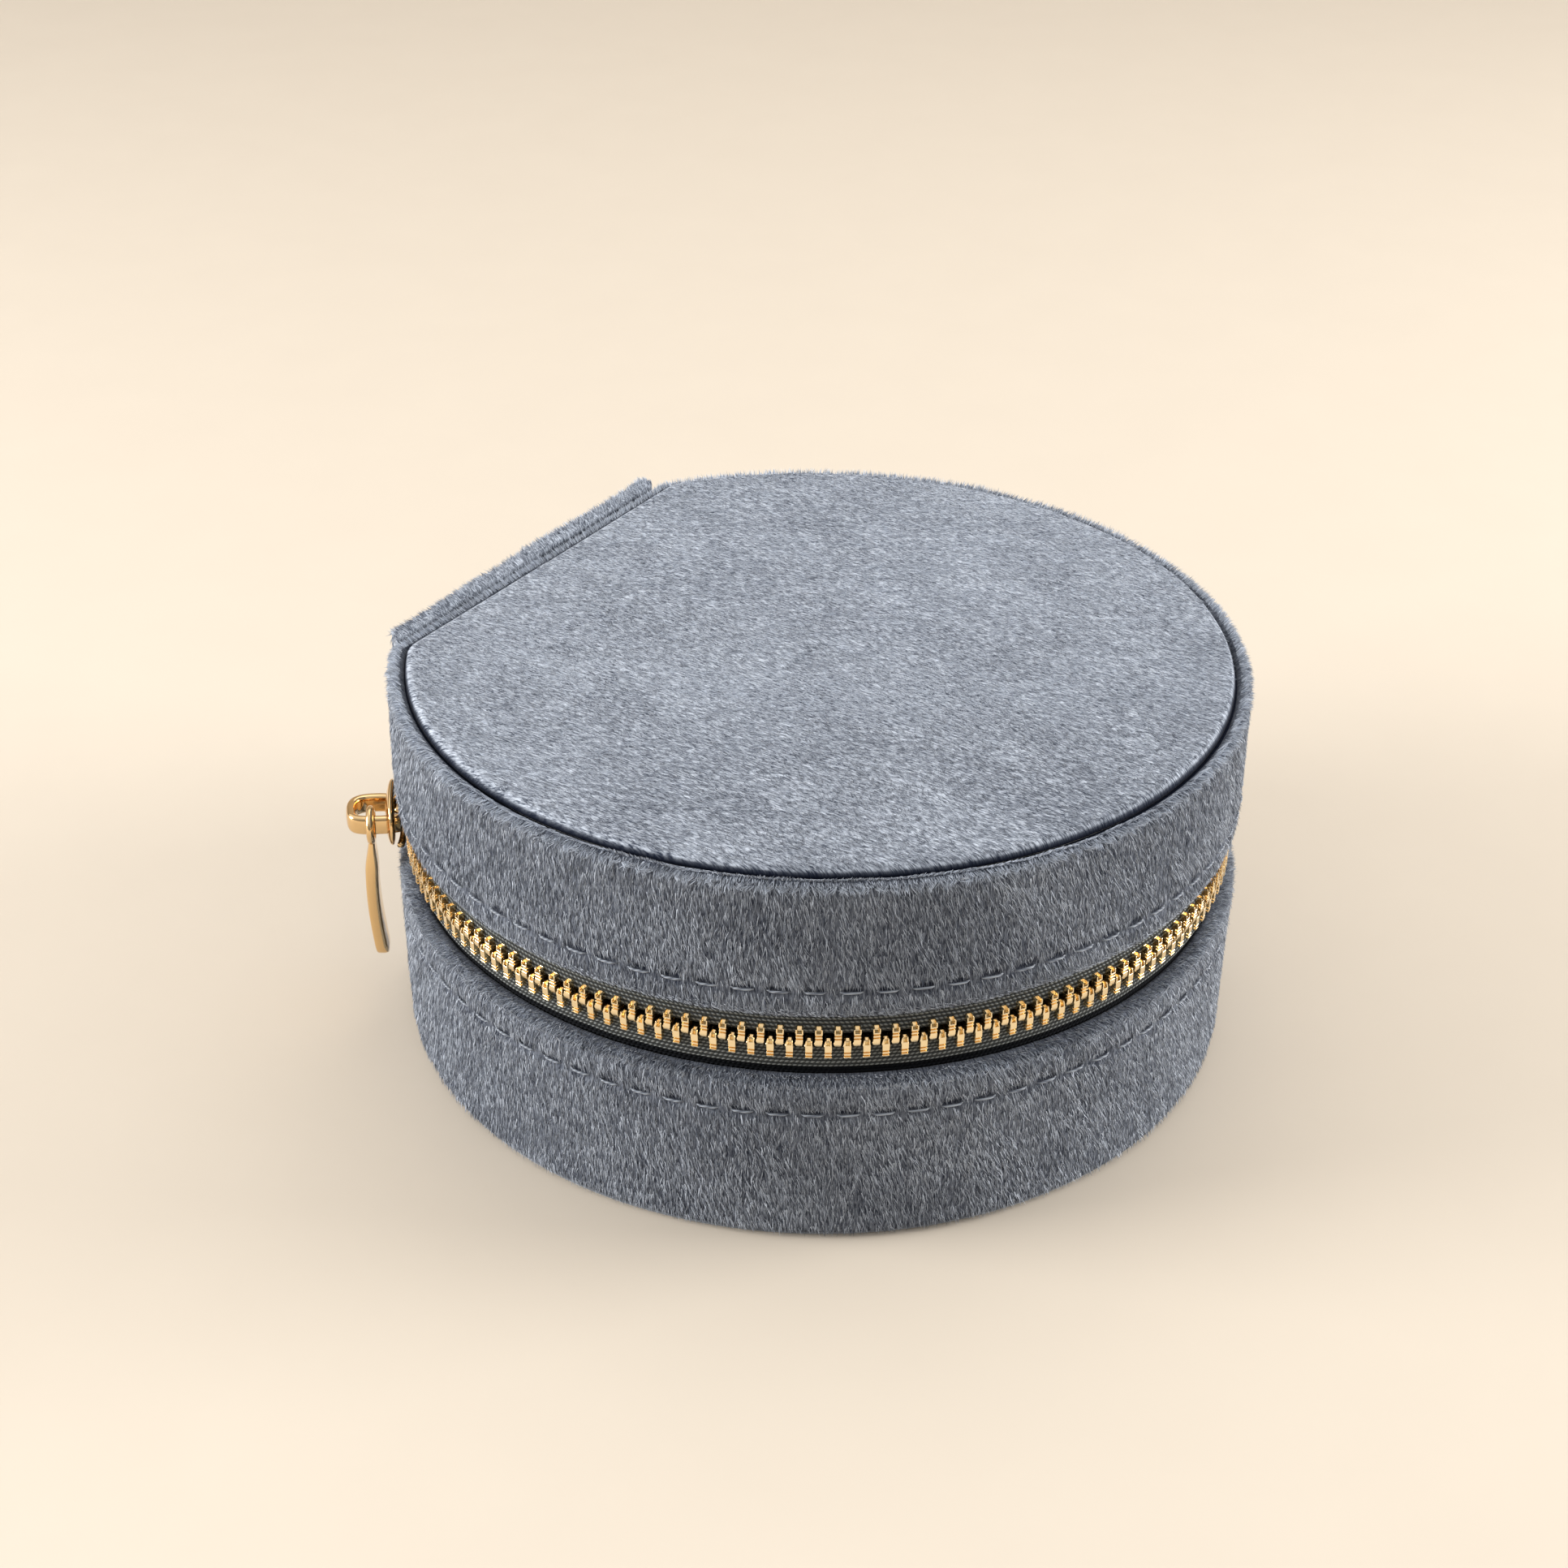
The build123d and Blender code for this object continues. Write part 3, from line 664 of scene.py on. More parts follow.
def pile(
    name, body, grid, count, nap, seed,
    lift=0.27, reach=1.05, width=0.13, keep=None, inside=(0, 0, 25), pale=0.0, even=1.1,
):
    """Velvet pile over a grid of points: fibres that lie along the nap's own direction, lift a little off the
    cloth and stray to the sides, in clumps. nap turns places and normals into directions, inside is a point
    behind the cloth, pale lightens the fibres, painted light, and darkens them where it is below 0, painted shade,
    and even draws their tones together."""
    place, normal, rng = scattered(grid, count, seed, keep)
    normal = normal * np.sign(np.sum(normal * (place - np.array(inside)), 1, keepdims=True))
    lie = nap(place, normal)
    lie = lie - normal * np.sum(lie * normal, 1, keepdims=True)
    lie /= np.linalg.norm(lie, axis=1, keepdims=True) + 1e-9
    side = np.cross(normal, lie)
    faces_up = np.abs(normal[:, 2]) > 0.7
    around = np.where(faces_up, place[:, 0], np.arctan2(place[:, 1], place[:, 0]) * RADIUS)
    clump = lattice_noise(around / 2.2 + place[:, 1] / 3.1, place[:, 2] / 2.6 + place[:, 0] / 2.3, seed + 1)
    stray = clump * 0.3 + rng.normal(0, 0.2, count)
    rise = lift * (1 + 0.5 * clump) + rng.normal(0, 0.06, count)
    lean = lie + side * stray[:, None] + normal * rise[:, None]
    length = reach * rng.uniform(0.6, 1.2, count)
    across, along = around / 16.0 + place[:, 1] / 21.0, place[:, 2] / 14.0 + place[:, 0] / 19.0
    # random patches and clumps of tone, plus pale: painted light on rims, painted shade on walls
    patch_tone = 0.5 + 0.42 * layered_noise(across, along, seed + 2, 2) + 0.12 * clump + pale
    # painted shade: the top's fibres darken towards its front left
    patch_tone -= 0.0085 * np.clip(-0.85 * place[:, 0] - 0.53 * place[:, 1] - 8, 0, 45) * faces_up
    tone = np.stack([rng.beta(even, even * 1.05, count), patch_tone], -1)
    width = width * rng.uniform(0.7, 1.2, count)
    return needles(name, place - normal * 0.04, lean, length, width, tone, body, seed)


def downwards(place, normal):
    """The nap of the walls: down, with a slight slant."""
    slant = 0.16
    return np.stack([-normal[:, 1] * slant, normal[:, 0] * slant, np.full(len(place), -1.0)], -1)


def along_wall(place, normal):
    """The nap of a hem: level, along the wall."""
    return np.stack([-place[:, 1], place[:, 0], 0 * place[:, 0]], -1)


def splayed(place, normal):
    """The nap of a rolled edge: up and out over it."""
    out = place * np.array([1, 1, 0]) / (np.linalg.norm(place[:, :2], axis=1, keepdims=True) + 1e-9)
    return out + np.array([0, 0, 0.5]) * np.sign(normal[:, 2:3] + 0.5)


def forwards(place, normal):
    """The nap of the top: towards the front, turned a little from patch to patch."""
    turn = -math.radians(112) + 0.45 * layered_noise(place[:, 0] / 26.0, place[:, 1] / 24.0, 58, 2)
    return np.stack([np.cos(turn), np.sin(turn), 0 * turn], -1)


def sideways(place, normal):
    """The nap of the rolls: along them."""
    return np.array([[1.0, 0.15, 0.0]]) + np.zeros_like(place)


def off_stitches(z, lowest):
    """Keeps fibres out of the dents of a stitch line, thins them beside it, and has none below a height."""

    def keep(middle):
        distance = outline(np.arange(middle.shape[0]) / middle.shape[0])[2][:, None]
        beside = np.abs(middle[..., 2] - z)
        thin = np.where(beside < 0.3, 0.3 * (1 - stitch_wave(distance)), np.where(beside < 0.5, 0.6, 1.0))
        return thin * (middle[..., 2] > lowest)

    return keep


def lid_wall():
    """From the rolled lower rim up the wall and over the crest, down into the seam of the top panel."""
    visible = [
        (1.6, LID_HEM + 0.25),
        (0.9, LID_HEM - 0.15),
        (0.15, LID_HEM + 0.15),
        (-0.05, LID_HEM + 1.4),
        (-0.12, LID_HEM + 8),
        (0.0, CREST - 3),
        (0.0, CREST - 1.2),
        (0.45, CREST - 0.25),
        (1.1, CREST - 0.05),
        (1.7, CREST - 0.5),
        (1.95, CREST - 2.0),
    ]
    hidden = [visible[-1], (1.0, CREST - 2.2), (0.9, LID_HEM + 1.6), (1.6, LID_HEM + 1.2), visible[0]]
    piece, grid = wall_skin("lid_velvet_wall", visible, hidden, 3, LID_SEAM)
    stands_for(piece, "lid", shaded_side_velvet, "velvet_blue_grey", "lid_velvet_side")
    height = grid[0, :, 2]
    keep = off_stitches(LID_SEAM, LID_HEM + 1.15)
    for layer, count in enumerate((36000, 28000)):
        seed = 11 + 3 * layer
        # pale below 0: painted shade on the lid's wall
        pile(f"lid_wall_pile_{layer}", "lid", grid[:, 2:-6], count, downwards, seed, keep=keep, pale=-0.16)
    hem = grid[:, height < LID_HEM + 1.5][:, 1:]
    # pale: painted highlight on the rolled lower rim
    pile("lid_hem_pile", "lid", hem, 8000, along_wall, 15, lift=0.5, reach=0.5, width=0.12, pale=0.25)
    crest = grid[:, height > CREST - 1.3][:, :-2]
    # pale: painted highlight on the crest
    pile("lid_crest_pile", "lid", crest, 20000, splayed, 12, lift=0.75, reach=1.0, width=0.14, pale=0.38)
    stitches("lid_stitches", "lid", 0.05, LID_SEAM)


def base_wall():
    """From the turned-in foot up the wall and over the soft rolled rim."""
    visible = [
        (1.7, FOOT - 0.1),
        (0.7, FOOT - 0.2),
        (0.1, FOOT + 0.5),
        (0.05, FOOT + 2.0),
        (0.0, FOOT + 9),
        (-0.12, BASE_HEM - 4),
        (-0.25, BASE_HEM - 1.2),
        (0.15, BASE_HEM - 0.2),
        (0.8, BASE_HEM + 0.3),
        (1.6, BASE_HEM + 0.4),
        (2.1, BASE_HEM + 0.1),
        (2.2, BASE_HEM - 1.0),
    ]
    hidden = [visible[-1], (1.0, BASE_HEM - 1.5), (0.9, FOOT + 1.4), (1.7, FOOT + 0.6), visible[0]]
    piece, grid = wall_skin("base_velvet_wall", visible, hidden, 31, BASE_SEAM)
    stands_for(piece, "base", shaded_side_velvet, "velvet_blue_grey", "base_velvet_side")
    keep = off_stitches(BASE_SEAM, FOOT + 0.9)
    for layer, count in enumerate((42000, 38000)):
        pile(f"base_wall_pile_{layer}", "base", grid[:, 3:-4], count, downwards, 21 + 3 * layer, keep=keep)
    rim = grid[:, grid[0, :, 2] > BASE_HEM - 1.0][:, :-3]
    # pale: painted highlight on the rolled rim
    pile("base_rim_pile", "base", rim, 10500, splayed, 22, lift=1.1, reach=0.95, width=0.13, pale=0.3)
    stitches("base_stitches", "base", 0.02, BASE_SEAM)


# ---- top panel, seam and hinge ----
def shrinking(edge, radial, under):
    """Rings in plan that shrink from an edge to the case's middle, on top and then underneath."""
    ring = np.concatenate([radial, under])
    return PLAN_MIDDLE + (edge - PLAN_MIDDLE)[:, None, :] * ring[None, :, None]


def top_panel():
    """The padded panel: rings that shrink from its D-shaped edge to a middle point. The height follows
    1 - r^2, and the last millimetre rolls over into the seam; underneath it is flat."""
    low, edge_height = PANEL_LOW[2], PANEL_HIGH[2] - 0.1
    corner, inset, roll, crown = 3.6, PANEL_INSET - 0.3, 1.15, 0.42
    count = int(perimeter(inset, corner) / 0.7)
    edge, _, _ = outline(np.arange(count) / count, inset, corner)
    radial = 1 - (1 - np.linspace(0.01, 1.0, 72)) ** 1.35
    under = [0.985, 0.6, 0.2]
    plan = shrinking(edge, radial, under)
    from_edge = (1 - radial) * np.linalg.norm(edge - PLAN_MIDDLE, axis=1)[:, None]
    drop = np.clip(1 - from_edge / roll, 0, 1)
    rolled = roll * 1.1 * (1 - np.sqrt(1 - drop**2 * 0.999))
    x, y = plan[:, : len(radial), 0], plan[:, : len(radial), 1]
    ruffle = layered_noise(x / 0.8, y / 2.2, 71) * 0.06
    swell = lattice_noise(x / 16.0, y / 13.0, 77) * 0.14
    top = edge_height + crown * (1 - radial**2) - rolled + (ruffle + swell) * (1 - drop)
    flat = np.ones((count, len(under)))
    points = raised(plan, np.concatenate([top, flat * low], 1))
    # painted shade: the rolled edge darkens into the seam, and the underside is nearly black
    shade = np.concatenate([np.clip(drop * 3.5 - 2.3, 0, 1), flat], 1)
    piece = polar_piece("lid_top_velvet_panel", points, shade)
    stands_for(piece, "lid", panel_velvet, "velvet_blue_grey", "lid_top_panel")
    shown = np.concatenate([points, points[:1]])[:, : len(radial) - 3]
    look = {"lift": 0.26, "reach": 0.9, "width": 0.12, "inside": (0, 0, -400), "even": 3.2, "pale": -0.09}
    for layer in range(2):
        pile(f"lid_top_pile_{layer}", "lid", shown, 43000, forwards, 51 + 5 * layer, **look)


def seam_cord():
    """The folded velvet at the bottom of the seam between the lid's wall and its top panel, painted nearly black
    navy all over: painted shade in the groove.
    """
    columns, rows = 420, 10
    turn = np.arange(rows) * math.pi / 5
    inset = 2.2 + 0.62 * np.cos(turn)
    place, normal, distance = outline(np.arange(columns) / columns)
    points = raised(place[:, None] - normal[:, None] * inset[:, None], CREST - 1.3 + 0.55 * np.sin(turn))
    cloth = cloth_uv(np.append(distance, perimeter()), np.arange(rows + 1) * 0.35)
    # painted shade: the whole fold is marked to be painted nearly black
    piece = outward(grid_piece("lid_seam_fold", points, cloth=cloth, shade=1.0))
    stands_for(piece, "lid", shaded_side_velvet, "velvet_blue_grey")


def hinge_strip():
    """One strip of velvet over the flat back, from above the base's foot to above the lid's crest. Its
    section is a slab with rolled edges, swept along X; the free fold between the rims sinks in a little."""
    low, high, near = STRIP_LOW[2], STRIP_HIGH[2], STRIP_LOW[1]
    far, half, step = near + 1.9, -STRIP_LOW[0], 0.45
    corners = [
        (near, low + 1.2),
        (near, low + 0.1),
        (near + 0.9, low - 0.1),
        (far, low + 0.3),
        (far, low + 2.0),
        (far, HINGE_Z - 5),
        (far - 0.5, HINGE_Z),
        (far, HINGE_Z + 5),
        (far, high - 2.0),
        (far - 0.1, high - 0.2),
        (near + 1.0, high),
        (near, high - 0.3),
        (near, high - 1.4),
        (near, low + 1.2),
    ]
    section = evenly(softened(corners), step)[:-1]
    x = np.linspace(-half, half, int(2 * half / 0.42))
    across, loop = np.meshgrid(x, np.arange(len(section)), indexing="ij")
    y, z = section[loop][..., 0], section[loop][..., 1]
    outer = np.clip((y - near) / (far - near), 0, 1)
    end = np.sqrt(np.clip(1 - np.clip(np.abs(across) - half + 1.0, 0, 1) ** 2, 0, 1))
    at_top = np.clip(((z - low) / (high - low) - 0.9) / 0.1, 0, 1)
    wave = lattice_noise(across / 9.0, z / 30.0, 91) * 0.35 * at_top
    ruffle = layered_noise(across / 0.8, z / 2.4, 93) * 0.07
    swell = lattice_noise(across / 12.0, z / 11.0, 95) * 0.12
    y = near + (y - near) * (0.35 + 0.65 * end) + (ruffle + swell) * outer
    z = z + wave
    points = np.stack([across, y, z], -1)
    run = distances(section)
    # painted shade on the strip's inner face against the case, below its top edge
    shade = np.clip(1 - (y - near) / 0.9, 0, 1) * np.clip((high - 0.6 - z) / 0.8, 0, 1)
    piece = outward(bar("hinge_strip_velvet", points, cloth_uv(x, np.append(run, run[-1] + step)), shade))
    nodes = ("hinge_strip_base", "hinge_strip_lid", "hinge_fold")
    stands_for(piece, None, strip_velvet, "velvet_blue_grey", *nodes)
    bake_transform(piece)
    facing = points[:, section[:, 0] > near + 0.8]
    # pale below 0: painted shade on the strip
    fibres = pile("hinge_strip_pile", None, facing, 17000, downwards, 61, inside=(0, -400, 25), pale=-0.12)
    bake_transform(fibres)
    edge = points[:, section[:, 1] > high - 0.9]
    pile("hinge_strip_edge_pile", "lid", edge, 2600, splayed, 62, lift=0.6, reach=0.9)


# ---- zip ----
TAPE_THICK = 0.6
TOOTH_OUT = TAPE_OUT - TAPE_THICK / 2 + 1.25
TOOTH_IN = TAPE_OUT - TAPE_THICK / 2 - 1.0
PITCH = 2.145


def tooth_shape(side):
    """One tooth at angle 0, as eight-cornered sections from its head to its legs: two shallow ridges cross
    the body, and the head carries a nub on one flank. The upper row's legs are forked, the lower row's head
    is hollow. Columns go along z and rows round a section."""
    # each level: distance from the chain's middle, half width, nub, step down of the outer face, its hollow
    ridges = [(0, 0.02), (0.07, 0.34), (0.13, 0.34), (0.2, 0.02), (0.42, 0.02), (0.49, 0.34), (0.55, 0.34)]
    ridges += [(0.62, 0.02)]
    body = 0.56 if side > 0 else 1.12
    ribbed = [(body + z, 0.41 - drop * 0.15, 0, drop, 0) for z, drop in ridges]
    if side > 0:
        levels = [(-0.46, 0.24, 0, 0.45, 0), (-0.38, 0.33, 0, 0.15, 0), (-0.14, 0.36, 0.1, 0.05, 0)]
        levels += [(0.10, 0.38, 0.14, 0, 0), (0.34, 0.39, 0.02, 0, 0)] + ribbed
        levels += [(1.40, 0.42, 0, 0, 0), (1.45, 0.42, 0, 0, 0.62), (1.92, 0.42, 0, 0.03, 0.7)]
        levels += [(1.98, 0.36, 0, 0.2, 0.5)]
    else:
        levels = [(-0.46, 0.3, 0, 0.25, 0.35), (-0.38, 0.34, 0, 0.1, 0.6), (0.16, 0.36, 0.12, 0, 0.62)]
        levels += [(0.2, 0.39, 0.13, 0, 0), (0.42, 0.4, 0.02, 0, 0)] + ribbed
        levels += [(1.88, 0.41, 0, 0.05, 0), (1.98, 0.36, 0, 0.25, 0)]
    place, half, nub, drop, hollow = np.array(levels).T
    prong = 0.14
    sections = [
        (TOOTH_IN + drop, -half - nub),
        (TOOTH_IN + drop, half),
        (TOOTH_OUT - drop, half),
        (TOOTH_OUT - drop, half - prong),
        (TOOTH_OUT - drop - hollow, half - prong),
        (TOOTH_OUT - drop - hollow, -half + prong),
        (TOOTH_OUT - drop, -half + prong),
        (TOOTH_OUT - drop, -half - nub),
    ]
    return np.stack([np.stack([x, y, CHAIN_Z + side * place], -1) for x, y in sections], 1)


def angles_of(node):
    """The first and last angle of a CAD node that goes round the front, in degrees from 90 to 450."""
    points = np.array([v.co for v in frame["nodes"][node].data.vertices])
    around = np.degrees(np.arctan2(points[:, 1], points[:, 0])) % 360
    around = np.where(around < 90, around + 360, around)
    return around.min(), around.max()


def tooth_row(name, side, body, node):
    """The same tooth at every place of the CAD row."""
    first, last = angles_of(node)
    half = math.degrees(0.4 / TOOTH_IN)
    first, last = first + half, last - half
    count = int(round((last - first) / math.degrees(PITCH / TOOTH_OUT))) + 1
    angle = np.radians(first + np.arange(count) * (last - first) / (count - 1))[:, None, None]
    x, y, z = np.moveaxis(tooth_shape(side), -1, 0)
    x, y = x * np.cos(angle) - y * np.sin(angle), x * np.sin(angle) + y * np.cos(angle)
    piece = repeated(name, raised(np.stack([x, y], -1), z), smooth=False)
    bevelled(piece, 0.05, 1, 30)
    stands_for(piece, body, zip_gold, "zip_metal", node)


def tape_piece(name, side, body, node):
    """A woven tape: a thin band round the case with a thicker cord along its edge between the teeth. Past
    its outer selvedge it steps back, folded under the velvet, and is painted nearly black: painted shade in the
    gap under the rim."""
    low, high = node_box(node)
    edge, far = (low[2], high[2]) if side > 0 else (high[2], low[2])
    outer, inner = TAPE_OUT, TAPE_OUT - TAPE_THICK
    selvedge = CHAIN_Z + side * 3.6
    section = [
        (inner, far),
        (inner, edge + side * 0.5),
        (inner - 0.05, edge + side * 0.15),
        ((inner + outer) / 2, edge - side * 0.25),
        (outer + 0.2, edge + side * 0.05),
        (outer + 0.12, edge + side * 0.7),
        (outer, edge + side * 0.95),
        (outer, selvedge - side * 0.35),
        (outer + 0.12, selvedge - side * 0.15),
        (outer + 0.05, selvedge + side * 0.1),
        (inner + 0.1, selvedge + side * 0.15),
        (inner + 0.1, far),
    ]
    profile = evenly(softened(section, 2), 0.26)
    turn = np.radians(np.linspace(*angles_of(node), 520))[:, None]
    wobble = lattice_noise(np.degrees(turn) / 3.5, profile[None, :, 1] / 3.0, 41 + side) * 0.05
    radius = profile[:, 0] + wobble
    points = raised(np.stack([radius * np.cos(turn), radius * np.sin(turn)], -1), profile[:, 1])
    run = distances(profile)
    cloth = cloth_uv(turn[:, 0] * outer, np.append(run, run[-1] + 0.6))
    # painted shade: past the selvedge the tape is marked to be painted nearly black, the shaded gap under the rim
    piece = bar(name, points, cloth, np.clip(side * (profile[:, 1] - selvedge) / 0.15, 0, 1))
    stands_for(outward(piece), body, tape_cloth, "zip_tape", node)


# ---- slider ----
RADIAL = np.array([math.cos(SLIDER_ANGLE), math.sin(SLIDER_ANGLE), 0.0])
ALONG = np.array([-math.sin(SLIDER_ANGLE), math.cos(SLIDER_ANGLE), 0.0])
UP = np.array([0.0, 0.0, 1.0])


def at_slider(out, along, height):
    """Points from their distance to the case's axis, along the chain and above the chain's middle."""
    out, along, height = np.broadcast_arrays(out, along, height)
    return out[..., None] * RADIAL + along[..., None] * ALONG + (height[..., None] + CHAIN_Z) * UP


def rounded_section(half_a, half_b, power, count):
    """A superellipse: |a|^p + |b|^p = 1, the section of a polished bar. Halves may be arrays."""
    turn = np.arange(count) * 2 * math.pi / count
    a, b = (np.sign(part) * np.abs(part) ** (2 / power) for part in (np.cos(turn), np.sin(turn)))
    return np.asarray(half_a)[..., None] * a, np.asarray(half_b)[..., None] * b


def slider_plate(name, middle, thickness, dome, length, height):
    """A slider's plate: a rounded shield that follows the wall's curve, highest at the nose end and lower at
    the tail, domed outwards by 1 - s^2 and rounded at its rim."""
    s = np.linspace(-1, 1, 41)
    half = np.maximum(height / 2 * (1 - np.abs(s) ** 3.2) ** (1 / 2.2) * (1 - 0.12 * s), 0.12)
    along = s * length / 2
    thick = thickness / 2 * (0.35 + 0.65 * (1 - np.abs(s) ** 5))
    up, out = rounded_section(half, thick, 2.6, 28)
    crown = dome * (1 - s**2)[:, None] * (1 - (up / (half[:, None] + 1e-9)) ** 2)
    radius = middle + out + crown * np.sign(out + 1e-9).clip(0, 1)
    sag = (np.sqrt(middle**2 - along**2) - middle)[:, None]
    return bar(name, at_slider(radius + sag, along[:, None], up))


def slider_body():
    """Two plates, joined at the nose by a wedge between the rows of teeth, with turned-in flanges."""
    pieces = [
        slider_plate("slider_outer_plate", 53.3, 0.95, 0.35, 9.2, 6.9),
        slider_plate("slider_inner_plate", 48.4, 0.9, 0.0, 8.3, 6.2),
    ]
    t = np.linspace(0, 1, 17)[:, None]
    reach = 0.75 * np.sin(math.pi * np.clip(t, 0.04, 0.96)) ** 0.4
    wide, tall = rounded_section(0.6, 0.32, 3.0, 12)
    for side in (-1, 1):
        for base, turn in ((52.35, -1), (48.8, 1)):
            height = side * (3.05 - 0.55 * t) + tall
            out = base + turn * reach * 0.5 + wide * 0.75
            pieces.append(bar("flange", at_slider(out, 6.9 * t - 3.3, height)))
    out = 48.6 + 4.0 * np.linspace(0, 1, 9)[:, None]
    wide, tall = rounded_section(1.15, 0.55, 2.4, 16)
    pieces.append(bar("neck", at_slider(out, -3.05 + wide, tall)))
    stands_for(joined("slider_polished", pieces), "slider", slider_gold, "slider_metal", "slider")


def bridge():
    """The loop that carries the pull: a polished band bent round a D, from the plate out and back in."""
    corners = [(52.1, -2.0), (53.4, -2.6), (55.3, -2.8), (57.3, -2.6), (58.35, -1.5), (58.4, 0.3)]
    corners += [(58.1, 2.0), (57.0, 2.55), (55.4, 2.6), (53.4, 2.6), (52.1, 2.2)]
    line = evenly(softened(corners, 4), 0.28)
    step = np.gradient(line, axis=0)
    step /= np.linalg.norm(step, axis=1, keepdims=True)
    band, tall = rounded_section(0.57, 1.22, 3.4, 24)
    out = line[:, :1] - step[:, 1:] * band
    along = line[:, 1:] + step[:, :1] * band
    piece = outward(bar("bridge_polished", at_slider(out, along, tall)))
    stands_for(piece, "slider", slider_gold, "slider_metal", "slider_bridge")


def quarter_wave(t, rise):
    """A quarter of a sine wave that climbs from 0 to 1 over the first part of t."""
    return np.sin(math.pi * np.clip(t / rise, 0, 1) / 2)


def rounded_off(t, start, length, depth):
    """1 up to the start, and then the fall of an ellipse."""
    return np.where(t > start, np.sqrt(np.clip(1 - ((t - start) / length) ** 2 * depth, 0.02, 1)), 1)


def pull():
    """The pull: a bar that hangs from its eye, narrow at the neck, broadest in the middle and bowed away from
    the wall; the eye is a thinner ring round the bridge's front leg."""
    centre, pivot, neck = 55.75, 2.55, -1.75
    bottom = node_box("pull_tab")[0][2] - CHAIN_Z
    t = np.linspace(0, 1, 49)
    height = neck + (bottom - neck) * t
    wide = (1.2 + quarter_wave(t, 0.8) ** 0.8) * rounded_off(t, 0.9, 0.103, 0.75)
    thick = (0.4 + 0.42 * quarter_wave(t, 0.26) ** 2) * rounded_off(t, 0.97, 0.032, 0.7)
    bow = 0.5 * np.sin(math.pi * t) - 0.4 * t
    across, out = rounded_section(wide, thick, 5.0, 24)
    tab = at_slider(centre + bow[:, None] + out, pivot + across, height[:, None])
    turn = (np.arange(36) * math.pi / 18)[:, None]
    section = np.arange(12) * math.pi / 6
    ring = 1.98 + 0.5 * np.cos(section)
    eye = at_slider(centre + 0.5 * np.sin(section), pivot + ring * np.cos(turn), ring * np.sin(turn))
    pieces = [bar("bar", tab), grid_piece("eye", eye)]
    stands_for(joined("pull_polished", pieces), "pull", slider_gold, "slider_metal", "pull_tab")


# ---- inside ----
def rounded_copy(node, body, material, slot, width, segments=2):
    """A CAD part with its edges rolled: a merged copy of its mesh, flat faces joined, then a bevel."""
    piece = linked(node + "_soft", frame["nodes"][node].data.copy())
    shape = bmesh.new()
    shape.from_mesh(piece.data)
    bmesh.ops.remove_doubles(shape, verts=shape.verts, dist=2e-6)
    bmesh.ops.dissolve_limit(shape, angle_limit=math.radians(1.5), verts=shape.verts, edges=shape.edges)
    shape.to_mesh(piece.data)
    shape.free()
    piece.data.polygons.foreach_set("use_smooth", [True] * len(piece.data.polygons))
    bevelled(piece, width, segments, 35).harden_normals = True
    return stands_for(piece, body, material, slot, node)


def ring_rolls():
    """The ring holder's rolls: tubes of velvet over foam, slightly uneven, pressed together where they
    touch and pinched in at their ends."""
    columns, rows = 96, 40
    for number in range(1, 5):
        node = f"ring_roll_{number}"
        low, high = node_box(node)
        middle, radius = (low + high) / 2, (high[2] - low[2]) / 2
        x = np.linspace(low[0], high[0], columns)
        turn = np.arange(rows + 1) * math.pi / 20
        along, around = np.meshgrid(x, turn[:-1], indexing="ij")
        from_end = np.minimum(along - low[0], high[0] - along)
        pinch = np.sqrt(np.clip(1 - np.clip(1 - from_end / 1.4, 0, 1) ** 2, 0.06, 1))
        swell = layered_noise(along / 7.0, around * 2.2, 300 + number, 2) * 0.14
        ruffle = layered_noise(along / 0.9, around * radius / 0.9, 320 + number) * 0.04
        seam = np.exp(-(((around - 1.5 * math.pi) / 0.12) ** 2)) * 0.2
        reach = radius * pinch + (swell + ruffle) * pinch - seam - 0.06
        points = np.stack([along, middle[1] + reach * np.cos(around), middle[2] + reach * np.sin(around)], -1)
        # painted shade in the pinched ends
        piece = outward(bar(node + "_velvet", points, cloth_uv(x, turn * radius), (1 - pinch) * 0.7))
        stands_for(piece, "base", roll_velvet, "roll_velvet", node)
        look = {"lift": 0.25, "reach": 0.8, "inside": tuple(middle)}
        pile(f"{node}_pile", "base", points[:, 2:19], 5200, sideways, 340 + number, **look)


def divider(node):
    """A divider: board wrapped in lining, with a rounded top edge and faces that bulge very slightly."""
    low, high = node_box(node)
    span = high - low
    axis = 0 if span[0] > span[1] else 1
    thin = 1 - axis
    half, top = span[thin] / 2, high[2]
    corners = [(-half, low[2]), (-half, top - 0.2), (0, top + 0.45), (half, top - 0.2), (half, low[2])]
    section = evenly(softened(corners), 0.4)
    line = np.linspace(low[axis], high[axis], max(8, int(span[axis] / 0.9)))
    along, index = np.meshgrid(line, np.arange(len(section)), indexing="ij")
    side, z = section[index][..., 0], np.minimum(section[index][..., 1], top)
    wobble = lattice_noise(along / 7.0, z / 7.0 + side, 410 + len(node)) * 0.05
    points = np.zeros((*along.shape, 3))
    points[..., axis] = along
    points[..., thin] = (low[thin] + high[thin]) / 2 + side + wobble * np.sign(side)
    points[..., 2] = z
    stands_for(outward(bar(node + "_wrapped", points)), "base", lining_cloth, "lining_suede", node)


